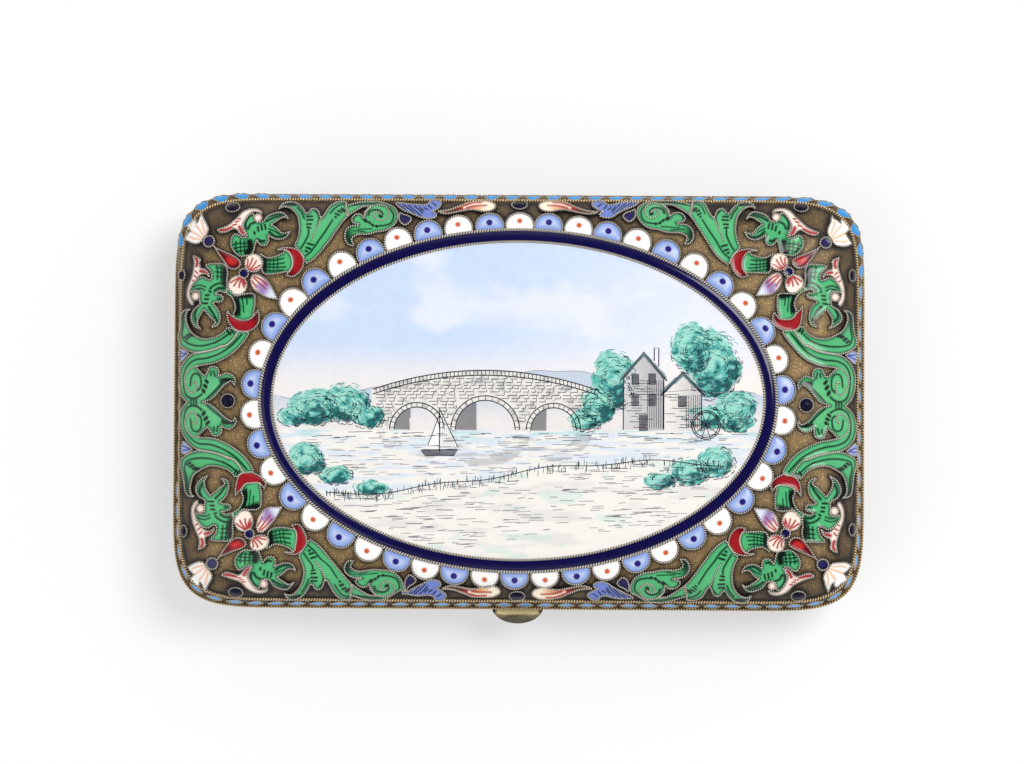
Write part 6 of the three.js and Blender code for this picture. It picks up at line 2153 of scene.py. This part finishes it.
@dataclass
class Shells:
    """The two cushioned shells, their border wires and side bands."""

    shade_and_tarnish: ShadeAndTarnish
    lozenges: int = 100
    lozenge_half: float = 1.25
    band_low: float = 1.3
    band_high: float = 4.25
    gap_half: float = 4.5
    swell: float = 0.38
    corner_swell: float = 0.4
    back_lean: float = 0.58
    back_reach: float = 0.95
    barrel_half: float = 42.4
    barrel_radius: float = 1.12
    swing_angle: float = 57.5
    thumb_low: tuple[float, float, float] = (-4.25, -40, 6.74)
    thumb_high: tuple[float, float, float] = (4.25, -29.6, 10.6)
    border_shift: float = 0.14
    rim_inset: float = 0.22
    rim_spread: float = 0.16
    rim_height: float = 0.38
    rim_end: float = 0.14
    seat_low: float = 0.14
    seat_high: float = 0.5
    moulding_run: float = 34
    moulding_lift: float = 0.2
    moulding_low: float = 1.12
    moulding_high: float = 4.1
    moulding_edge: float = 4.3
    glass_lift: float = 0.26
    glass_crown: float = 0.14
    frame_lift: float = 0.3
    left_share: float = 0.25
    hinge_lowest: float = 1.15
    made: dict[Side, Piece] = field(default_factory=dict)

    def shell(self, side: Side, node: str) -> None:
        """Makes one shell, hollow and open at the parting plane.

        Args:
            side: Which half it is.
            node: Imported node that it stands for.
        """
        inner = moved_out(FORM.profile(COARSE_INSETS), -FORM.wall)[::-1]
        outer = FORM.profile(FINE_INSETS)
        outer[0, 1] = inner[-1, 1] = FORM.parting_gap
        inner[0, 0] = 19.3
        rings = []
        for inset, height in np.vstack([inner, outer]):
            plan = FORM.filled_ring(inset)
            rings.append(np.column_stack([plan, np.full(len(plan), FORM.parting + side.value * height)]))
        count, sides = len(rings), len(rings[0])
        ring = np.arange(sides)[None, :]
        sheet = Sheet()
        sheet.add(np.vstack(rings), [grid_faces(count, sides, False, True), ring[:, ::-1], ring + (count - 1) * sides])
        made = sheet.piece(node + "_chased")
        Bench.outward(made)
        self.relieve(made, side)
        made.data.materials.append(GROUND.material())
        made.data.materials.append(GILT.material())
        x, y, z = values_of(made.data.polygons, "center").T / MM
        height, depth = np.abs(z - FORM.parting), FORM.inset(x, y)
        skin = np.where(depth > 1.7, FORM.cushion(depth), 9.0)
        buried = (depth > 1.9) & (height < skin - 0.45)
        low = (depth > 1.15 + np.maximum(height - 0.35, 0) * 0.285) & (height < 4.2)
        made.data.polygons.foreach_set("material_index", (buried | low).astype(np.int32))
        Bench.smooth(made, 38)
        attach(made, side.body)
        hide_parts(node)
        self.made[side] = made

    def relieve(self, made: Piece, side: Side) -> None:
        """Cuts the room of the hinge barrel, of the opening swing and of the push piece.

        Args:
            made: The shell.
            side: Which half it is.
        """
        start, end = (Vector((sign * self.barrel_half, FORM.hinge_y, FORM.parting)) for sign in (-1, 1))
        Bench.cut(made, Bench.rod("barrel_room", start, end, self.barrel_radius, 48))
        low, high = (-1.0, 20.0) if side is Side.LID else (-20.0, 1.0)
        near, far = (-60, FORM.hinge_y, FORM.parting + low), (60, FORM.hinge_y + 30, FORM.parting + high)
        wedge = Bench.bar("swing_room", near, far)
        for vertex in wedge.data.vertices:
            if vertex.co.y < (FORM.hinge_y + 1) * MM:
                vertex.co.y += side.value * (vertex.co.z - FORM.parting * MM) / math.tan(math.radians(self.swing_angle))
        Bench.cut(made, wedge)
        if side is Side.BASE:
            Bench.cut(made, Bench.bar("thumb_room", self.thumb_low, self.thumb_high))

    def border(self, side: Side) -> None:
        """Makes the twisted wire round the face of a half.

        Args:
            side: The half.
        """
        inset, height = moved_out(FORM.profile(COARSE_INSETS), 0.3)[2]
        plan = FORM.ring(float(inset), 24)
        lower = 0.1 * plan[:, 1] / FORM.half_width
        plan[:, 1] += self.border_shift
        self.shade_and_tarnish.beside(side, resampled(plan, 1200, True))
        path = np.column_stack([plan, FORM.parting + side.value * (float(height) + self.border_shift - lower)])
        outward = plan - FORM.ring(float(inset) + 1, 24) - (0, self.border_shift)
        up = np.column_stack([outward, np.full(len(plan), float(side.value))])
        sheet = Sheet()
        BORDER_WIRE.lay(sheet, path, unit(up), True)
        dressed(sheet.piece(f"{side.body}_face_twist"), GILT_WIRE, side.body, (f"{side.body}_face_rope",))

    def seat(self, side: Side, run: Array, node: str) -> None:
        """Makes the dark lip that carries the rim's wire.

        Args:
            side: The half.
            run: Plan points of the wire.
            node: Name of the wire's piece.
        """
        inner = run - (run - run * (0.985, 0.975)) * 0.9
        rows = [np.column_stack([plan, np.full(len(run), FORM.parting + side.value * height)])
                for plan, height in ((inner, self.seat_low), (run, self.seat_low), (run, self.seat_high),
                                     (inner, self.seat_high))]
        ends = np.arange(4)[None, :]
        sheet = Sheet()
        sheet.add(np.stack(rows, axis=1).reshape(-1, 3),
                  [grid_faces(len(run), 4, False, True), ends, (ends + (len(run) - 1) * 4)[:, ::-1]])
        made = sheet.piece(node.replace("rope", "seat"))
        Bench.outward(made)
        dressed(made, DARK_GILT, side.body)

    def rim(self, side: Side) -> None:
        """Makes the twisted wire at the parting, open along the hinge and the push piece.

        Args:
            side: The half.
        """
        plan = resampled(FORM.ring(self.rim_inset, 24), 1200, True)
        plan[:, 0] += self.rim_spread * np.sign(plan[:, 0]) * rise(40, 50, np.abs(plan[:, 0]))
        keep = plan[:, 1] < FORM.hinge_y - self.rim_end
        if side is Side.BASE:
            keep &= ~((np.abs(plan[:, 0]) < self.gap_half) & (plan[:, 1] < 0))
        start = int(np.flatnonzero(keep & ~np.roll(keep, 1))[0])
        plan, keep = np.roll(plan, -start, axis=0), np.roll(keep, -start)
        cuts = np.flatnonzero(keep[1:] != keep[:-1]) + 1
        runs = [run for run, kept in zip(np.split(plan, cuts), np.split(keep, cuts)) if kept[0] and len(run) > 20]
        names = {Side.LID: ("lid_rim_rope",), Side.BASE: ("base_rim_rope_left", "base_rim_rope_right")}[side]
        for run, node in zip(sorted(runs, key=lambda run: run[:, 0].mean()), names):
            path = np.column_stack([run, np.full(len(run), FORM.parting + side.value * self.rim_height)])
            up = np.column_stack([run * (0.5, 1.0), np.zeros(len(run))])
            self.seat(side, run, node)
            sheet = Sheet()
            RIM_WIRE.lay(sheet, path, unit(up), False)
            dressed(sheet.piece(node.replace("rope", "twist")), GILT_WIRE, side.body, (node,))

    def on_side(self, side: Side, around: Array, height: Array, lift: Array) -> Array:
        """Points on the leaning side of a half.

        Args:
            side: The half.
            around: Places along the middle ring in millimetres.
            height: Heights above the parting plane.
            lift: Distance off the side, one per point.

        Returns:
            Points in space.
        """
        outer, inner = (resampled(FORM.ring(inset, 24), 2000, True) for inset in (0.0, 2.0))
        at = (around / length_of(FORM.ring(1.0, 24), True) % 1) * 2000
        low, part = np.floor(at).astype(int) % 2000, (at - np.floor(at))[:, None]
        start, end = (ring[low] * (1 - part) + ring[(low + 1) % 2000] * part for ring in (outer, inner))
        inset = FORM.foot_inset + np.maximum(height - FORM.foot_height, 0) * FORM.lean / FORM.side_rise - lift
        plan = start + (end - start) * inset[:, None] / 2
        outward = unit(start - end)
        swell = self.swell + self.corner_swell * rise(36, 46, np.abs(plan[:, 0]))
        swell = swell * rise(13, 29, plan[:, 1]) * rise(1.0, 1.6, height) * (1 - rise(2.6, 4.3, height))
        plan = plan + outward * swell[:, None]
        plan[:, 1] = np.minimum(plan[:, 1], FORM.hinge_y + np.minimum(self.back_lean * height, self.back_reach))
        return np.column_stack([plan, FORM.parting + side.value * height])

    def moulding(self, side: Side) -> None:
        """Makes the swell of the back wall that stands over the hinge barrel.

        Args:
            side: The half.
        """
        corner = length_of(FORM.ring(1.0, 24)[:25], False)
        straight = 2 * (FORM.half_length - FORM.corner)
        around = np.linspace(corner - self.moulding_run, corner + straight + self.moulding_run, 300)
        rows = []
        section = [(h, self.moulding_lift) for h in np.linspace(self.moulding_low, self.moulding_high, 12)]
        section += [(self.moulding_edge, 0.0), (self.moulding_edge, -0.3), (self.moulding_low, -0.3)]
        for height, lift in section:
            rows.append(self.on_side(side, around, np.full(len(around), height), np.full(len(around), lift)))
        count = len(rows)
        ends = np.arange(count)[None, :]
        sheet = Sheet()
        last = ends + (len(around) - 1) * count
        faces = [grid_faces(len(around), count, False, True), ends, last[:, ::-1]]
        sheet.add(np.stack(rows, axis=1).reshape(-1, 3), faces)
        made = sheet.piece(f"{side.body}_back_moulding")
        Bench.outward(made)
        Bench.smooth(made, 50)
        dressed(made, DARK_GILT, side.body)

    def band(self, side: Side) -> None:
        """Makes the lozenges of the side and their pointed frames.

        Args:
            side: The half.
        """
        pitch = length_of(FORM.ring(1.0, 24), True) / self.lozenges
        middle, half = (self.band_low + self.band_high) / 2, (self.band_high - self.band_low) / 2 - 0.2
        enamel, wires = Sheet(), Sheet()
        steps = 10
        share = np.linspace(-1, 1, steps)
        body = 1 - np.abs(share) ** 1.6
        for k in range(self.lozenges):
            centre = (k + 0.5) * pitch
            probe = self.on_side(side, np.array([centre]), np.array([middle]), np.array([self.frame_lift]))[0]
            if side is Side.BASE and probe[1] < 0 and abs(probe[0]) < 5.6:
                continue
            lowest = self.hinge_lowest if probe[1] > FORM.hinge_y - 2.6 else 0.0
            # On the left they lie flatter, to keep the outline narrow; the moulding covers the last three
            flat = self.left_share if probe[0] < -49 and -14 < probe[1] < 22 else 1.0
            around = centre + share * self.lozenge_half
            tops = np.minimum(middle + half * body, self.band_high)
            bottoms = np.maximum(middle - half * body, lowest)
            rows = []
            for t in (0.0, 0.25, 0.5, 0.75, 1.0):
                crown = self.glass_crown * np.sqrt(np.maximum(1 - share**2, 0)) * math.sin(math.pi * t)
                lift = flat * (self.glass_lift + crown)
                rows.append(self.on_side(side, around, bottoms + (tops - bottoms) * t, lift))
            points = np.stack(rows, axis=1).reshape(-1, 3)
            paint = blend(Tint.BAND_BLUE.over(points), Tint.PALE_TURQUOISE.linear,
                          np.tile([0, 0.15, 0.35, 0.15, 0], steps))
            faces = grid_faces(steps, 5, False, False)
            enamel.add(points, [faces[:, ::-1] if side is Side.LID else faces], paint=paint)
            round_it = np.concatenate([around, around[::-1]])
            heights = np.clip(np.concatenate([tops + 0.1, bottoms[::-1] - 0.1]), lowest + 0.05, self.band_high + 0.1)
            line = self.on_side(side, round_it, heights, np.full(len(heights), self.frame_lift * flat))
            up = line - self.on_side(side, round_it, heights, np.full(len(heights), -1.0))
            BAND_WIRE.lay(wires, line, unit(up), True)
        dressed(enamel.piece(f"{side.body}_lozenges"), PAINTED, side.body, (f"{side.body}_side_band",))
        dressed(wires.piece(f"{side.body}_lozenge_wire"), GILT_WIRE, side.body)

    def build(self) -> None:
        """Makes both halves."""
        for side, node in ((Side.LID, "lid_shell"), (Side.BASE, "base_shell")):
            self.shell(side, node)
            self.border(side)
            self.rim(side)
            self.moulding(side)
            self.band(side)
            LOG.info("%s shell dressed", side.body)

    def shaded_and_tarnished(self) -> None:
        """Paints shade and dark old polish on both shells beside all that has been laid on them."""
        for side, made in self.made.items():
            self.shade_and_tarnish.paint(made, side)


@dataclass
class Hinge:
    """Knuckles, pin and plugs of the hinge, and the bearers."""

    length: float = 84.0
    knuckles: int = 7
    gap: float = 0.15
    radius: float = 1.0
    bore: float = 0.47

    def knuckle(self, index: int) -> None:
        """Makes one bored knuckle.

        Args:
            index: Its number from the left, starting at 0.
        """
        pitch = self.length / self.knuckles
        x0 = -self.length / 2 + index * pitch + self.gap / 2
        start, end = (Vector((x, FORM.hinge_y, FORM.parting)) for x in (x0, x0 + pitch - self.gap))
        body = "lid" if index % 2 else "base"
        made = Bench.rod(f"{body}_knuckle_tube_{index + 1}", start, end, self.radius, 40)
        step = Vector((1, 0, 0))
        Bench.cut(made, Bench.rod("bore", start - step, end + step, self.bore, 24))
        Bench.softened(made, 0.08)
        dressed(made, DARK_GILT, body, (f"{body}_knuckle_{index + 1}",))

    def build(self) -> None:
        """Makes the knuckles and dresses the solids that stay."""
        for index in range(self.knuckles):
            self.knuckle(index)
        for node in ("hinge_pin", "catch_spring"):
            keep_node(node, STEEL)
        for node in ("hinge_plug_left", "hinge_plug_right", "lid_hinge_bearer", "base_hinge_bearer", "base_bezel",
                     "lid_keeper", "catch_rivet_left", "catch_rivet_right"):
            keep_node(node, GILT)
        LOG.info("hinge and catch dressed")


def keep_node(name: str, finish: Metal | Enamel) -> None:
    """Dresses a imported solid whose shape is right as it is.

    Args:
        name: The node's name.
        finish: What it is made of.
    """
    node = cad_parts[name]
    node.data.materials.clear()
    node.data.materials.append(finish.material())


@dataclass
class PushPiece:
    """The half-moon push piece."""

    half_width: float = 4.1
    reach: float = 2.85
    depth: float = 3.2
    top: float = 10.09
    middle: float = -31.9
    ridge: float = -33.35
    edge_top: float = 9.0
    dish: float = 0.4
    dish_half: float = 3.6
    dish_middle: float = -32.15
    dish_share: float = 0.42
    stem_half: float = 3.4
    stem_end: float = -27.93
    stem_low: float = 6.89
    stem_high: float = 7.59
    horn_inner: float = 2.0
    horn_front: float = -29.83
    horn_top: float = 9.14

    def moon(self) -> Piece:
        """Makes the half moon: dished beside the case, and sloped down from a ridge to its edge.

        Returns:
            The half moon.
        """
        Bench.clear()
        bpy.ops.mesh.primitive_uv_sphere_add(segments=64, ring_count=40, radius=1)
        made = bpy.context.object
        made.scale = (self.half_width * MM, self.reach * MM, self.depth * MM)
        made.location = (0, self.middle * MM, self.top * MM)
        Bench.settle(made, "push_piece_moon")
        Bench.cut(made, Bench.bar("upper", (-10, -50, self.top), (10, 0, 30)))
        Bench.cut(made, Bench.bar("inner", (-10, -31.75, 0), (10, 0, 30)))
        slope = Bench.bar("slope", (-10, self.ridge - 10, self.top), (10, self.ridge, self.top + 10))
        fall = (self.top - self.edge_top) / (self.reach + self.middle - self.ridge)
        for vertex in slope.data.vertices:
            if vertex.co.y < (self.ridge - 1) * MM:
                vertex.co.z -= 10 * fall * MM
        Bench.cut(made, slope)
        curve = (self.dish_half**2 + self.dish**2) / (2 * self.dish)
        Bench.clear()
        bpy.ops.mesh.primitive_uv_sphere_add(
            segments=96, ring_count=64, radius=1,
            location=(0, self.dish_middle * MM, (self.top + curve - self.dish) * MM),
        )
        bpy.context.object.scale = (curve * MM, curve * self.dish_share * MM, curve * MM)
        Bench.cut(made, Bench.settle(bpy.context.object, "dish"))
        return Bench.softened(made, 0.1, 3, 40)

    def darken(self, made: Piece) -> None:
        """Paints shade on the slope, at the ends and along the low edge.

        Args:
            made: The half moon.
        """
        x, y, z = values_of(made.data.vertices, "co").T / MM
        slope = 0.9 * rise(-self.ridge - 0.2, 0.2 - self.ridge, -y)
        ends = 0.9 * rise(3.0, 3.7, np.abs(x)) + 0.25 * rise(0.0, 0.5, y - self.ridge - 0.2)
        # Painted shade on the half moon's underside, below its rim
        under = 0.8 * (z < 8.6)
        groove = made.data.attributes.new("groove", "FLOAT", "POINT")
        groove.data.foreach_set("value", np.maximum.reduce([slope, ends, under]).astype(np.float32))

    def build(self) -> None:
        """Makes the dished half moon with its stem and horns."""
        made = self.moon()
        self.darken(made)
        dressed(made, SHADED_WORN_GILT, "push_piece")
        front = (-self.stem_half, self.middle - 1.2, self.stem_low)
        stem = Bench.bar("push_piece_stem", front, (self.stem_half, self.stem_end, self.stem_high))
        for sign in (-1, 1):
            x0, x1 = sorted((sign * self.horn_inner, sign * self.stem_half))
            low, high = (x0, self.horn_front, self.stem_low), (x1, self.stem_end, self.horn_top)
            Bench.cut(stem, Bench.bar("horn", low, high), "UNION")
        Bench.softened(stem, 0.1)
        dressed(stem, GILT, "push_piece", ("thumb_piece",))
        LOG.info("push piece made")


@dataclass
class Back:
    """The flat oval, its rope and the sprays on the back."""

    shade_and_tarnish: ShadeAndTarnish
    half_length: float = 27.0
    half_width: float = 15.5
    rope_margin: float = 0.75

    def curl(self, x: float, y: float, start: float, turn: float) -> Array:
        """Outline of one curled leaf.

        Args:
            x: Middle of its spiral along X.
            y: Middle of its spiral along Y.
            start: Angle at which it starts.
            turn: Angle that it turns through.

        Returns:
            A closed outline in plan.
        """
        t = np.linspace(0, 1, 40)
        angle = start + turn * t
        rows = []
        for extra in (1.1, -1.1):
            radius = 5.2 * (1 - 0.62 * t) + extra * (1 - 0.5 * t)
            rows.append(np.column_stack([x + radius * np.cos(angle), y + radius * np.sin(angle)]))
        return np.vstack([rows[0], rows[1][::-1]])

    def outlines(self) -> tuple[Array, ...]:
        """Leaf outlines of one spray in the +X +Y corner.

        Returns:
            Closed outlines in plan.
        """
        return (
            self.curl(43.5, 15.0, math.pi * 0.75, -math.pi * 1.7), self.curl(28.0, 23.9, math.pi * 1.85, math.pi * 1.6),
            drawn("47.5 27.1*, 44.5 27.9, 41 25.1, 33.4 21.9*, 32.4 19.5, 39.3 18.3*, 41.6 20.3, 45 22.1, 48.2 24.5"),
        )

    def colour(self, points: Array, gap: Array) -> Array:
        """Green enamel with a dark vein along its middle.

        Args:
            points: Plan points.
            gap: Their distances from the wire.

        Returns:
            Linear colours.
        """
        base = Tint.GREEN.over(points)
        base = blend(base, Tint.DEEP_GREEN.linear, 0.75 * (1 - rise(0.1, 0.4, gap)))
        return blend(base, Tint.DEEP_GREEN.linear, rise(0.1, 0.0, np.abs(gap - 0.62)) * 0.8)

    def plate(self) -> None:
        """Makes the flat oval that the case rests on."""
        steps = 160
        rows = []
        for size, height in ((0.5, 0.0), (0.97, 0.0), (0.995, 0.06), (1.0, 0.2), (1.0, 0.6)):
            plan = circle(0, 0, self.half_length * size, self.half_width * size, steps)
            rows.append(np.column_stack([plan, np.full(steps, height)]))
        rows.append(FORM.lay(Side.BASE, circle(0, 0, self.half_length * 0.99, self.half_width * 0.99, steps), 0.08))
        ring = np.arange(steps)[None, :]
        sheet = Sheet()
        ends = [ring[:, ::-1], ring + (len(rows) - 1) * steps]
        sheet.add(np.vstack(rows), [grid_faces(len(rows), steps, False, True), *ends])
        made = sheet.piece("back_oval_disc")
        Bench.outward(made)
        Bench.smooth(made, 40)
        dressed(made, GILT, "base", ("back_oval_plate",))

    def build(self) -> None:
        """Makes the back."""
        self.plate()
        plan = circle(0, 0, self.half_length + self.rope_margin, self.half_width + self.rope_margin, 800)
        self.shade_and_tarnish.beside(Side.BASE, plan)
        sheet = Sheet()
        FRAME_WIRE.lay(sheet, FORM.lay(Side.BASE, plan, 0.36), FORM.upward(Side.BASE, plan), True)
        dressed(sheet.piece("back_oval_twist"), SILVER_WIRE, "base", ("back_oval_rope",))
        fills = [(line, Filling.of(line, 0.25)) for line in self.outlines()]
        for hand in HANDS:
            enamel, wires = Sheet(), Sheet()
            for line, fill in fills:
                sign = (hand.sx, hand.sy)
                paint = self.colour(fill.points, fill.gap)
                fill.place(enamel, Side.BASE, fill.points * sign, paint, hand.mirrored, 0.36, 0.05)
                self.shade_and_tarnish.beside(Side.BASE, line * sign)
                fine_wire(wires, Side.BASE, line * sign, True, 0.24)
            made = enamel.piece(f"back_spray_enamel_{hand.name}")
            dressed(made, PAINTED, "base", (f"back_scroll_{hand.name}",))
            dressed(wires.piece(f"back_spray_wire_{hand.name}"), SILVER_WIRE, "base")
        LOG.info("back dressed")


@dataclass
class Studio:
    """Camera, lamps, world and floor."""

    distance: float = 470.0
    focal_pixels: float = 2993.9
    image_width: int = 1024
    image_height: int = 764
    centre_x: float = 518.7
    centre_y: float = 402.1
    roll: float = math.radians(0.35)
    tilt_x: float = math.radians(0.7)
    tilt_y: float = math.radians(1.4)
    sensor: float = 36.0

    def camera(self) -> None:
        """Makes the camera of the photograph."""
        data = bpy.data.cameras.new("camera")
        made = bpy.data.objects.new("camera", data)
        bpy.context.scene.collection.objects.link(made)
        back = Vector((math.tan(self.tilt_x), -math.tan(self.tilt_y), 1)).normalized()
        right = Vector((0, 1, 0)).cross(back).normalized()
        turned = right * math.cos(self.roll) + back.cross(right) * math.sin(self.roll)
        made.rotation_mode = "QUATERNION"
        axes = Matrix((turned, back.cross(turned), back)).transposed()
        made.rotation_quaternion = axes.to_quaternion()
        made.location = Vector((0, 0, FORM.parting)) * MM + back * self.distance * MM
        data.sensor_width = self.sensor
        data.lens = self.focal_pixels / self.image_width * self.sensor
        data.shift_x = (self.image_width / 2 - self.centre_x) / self.image_width
        data.shift_y = (self.centre_y - self.image_height / 2) / self.image_width
        data.clip_start, data.clip_end = 0.01, 20
        bpy.context.scene.camera = made

    def lamp(self, name: str, place: tuple[float, float, float], size: float, power: float) -> None:
        """Makes a square soft lamp that faces the case.

        Args:
            name: Its name.
            place: Where it stands, in metres.
            size: Length of its sides, in metres.
            power: Its power in watts.
        """
        data = bpy.data.lights.new(name, "AREA")
        data.size = size
        data.energy = power
        made = bpy.data.objects.new(name, data)
        bpy.context.scene.collection.objects.link(made)
        made.location = place
        made.rotation_euler = (-Vector(place)).to_track_quat("-Z", "Y").to_euler()

    def world(self) -> None:
        """White all round with a dim ceiling, and plain white where the camera looks past the floor."""
        nodes = Nodes(bpy.data.worlds.new("studio"), "Background")
        nodes.into("Color", (1, 1, 1, 1))
        parts = nodes.node("ShaderNodeSeparateXYZ")
        nodes.feed(parts.inputs[0], nodes.node("ShaderNodeTexCoord").outputs["Generated"])
        walls = nodes.between(parts.outputs["Z"], 1.0, 0.12)
        walls.node.interpolation_type = "SMOOTHSTEP"
        walls.node.inputs["From Min"].default_value = 0.5
        walls.node.inputs["From Max"].default_value = 0.97
        ray = nodes.node("ShaderNodeLightPath").outputs
        lit = nodes.math("MULTIPLY", walls, nodes.between(ray["Is Diffuse Ray"], 1.0, 0.8))
        nodes.into("Strength", nodes.math("MAXIMUM", ray["Is Camera Ray"], lit))
        bpy.context.scene.world = nodes.made

    def floor(self) -> None:
        """A pale floor that keeps the shadow."""
        Bench.clear()
        bpy.ops.mesh.primitive_plane_add(size=4, location=(0, 0, -0.00002))
        made = Bench.settle(bpy.context.object, "floor")
        nodes = Nodes(bpy.data.materials.new("floor_paper"))
        nodes.into("Base Color", (0.93, 0.93, 0.93, 1))
        nodes.shader.inputs["Roughness"].default_value = 0.9
        glow = nodes.node("ShaderNodeEmission")
        ray = nodes.node("ShaderNodeLightPath").outputs
        seen = nodes.math("MAXIMUM", ray["Is Camera Ray"], ray["Is Glossy Ray"])
        mixed = nodes.node("ShaderNodeMixShader")
        nodes.feed(mixed.inputs["Fac"], nodes.math("MULTIPLY", seen, 0.45))
        nodes.feed(mixed.inputs[1], nodes.shader.outputs[0])
        nodes.feed(mixed.inputs[2], glow.outputs[0])
        nodes.feed(nodes.tree.nodes["Material Output"].inputs["Surface"], mixed.outputs[0])
        made.data.materials.append(nodes.made)

    def build(self) -> None:
        """Sets the whole studio up."""
        bpy.context.scene.view_settings.view_transform = "Standard"
        self.camera()
        self.world()
        self.lamp("key", (0.36, 0.26, 0.74), 0.35, 4.45)
        self.lamp("fill", (-0.5, -0.3, 0.7), 0.7, 2.0)
        self.floor()
        LOG.info("studio set up")


def main() -> None:
    """Builds the case."""
    logging.basicConfig(level=logging.INFO, format="%(name)s: %(message)s")
    shade_and_tarnish = ShadeAndTarnish()
    shells = Shells(shade_and_tarnish)
    for part in (Studio(), shells, Scrollwork(shade_and_tarnish), Beads(shade_and_tarnish), OvalFrame(shade_and_tarnish), LakeView(), Hinge(),
                 PushPiece(), Back(shade_and_tarnish)):
        part.build()
    shells.shaded_and_tarnished()


if __name__ == "__main__":
    main()
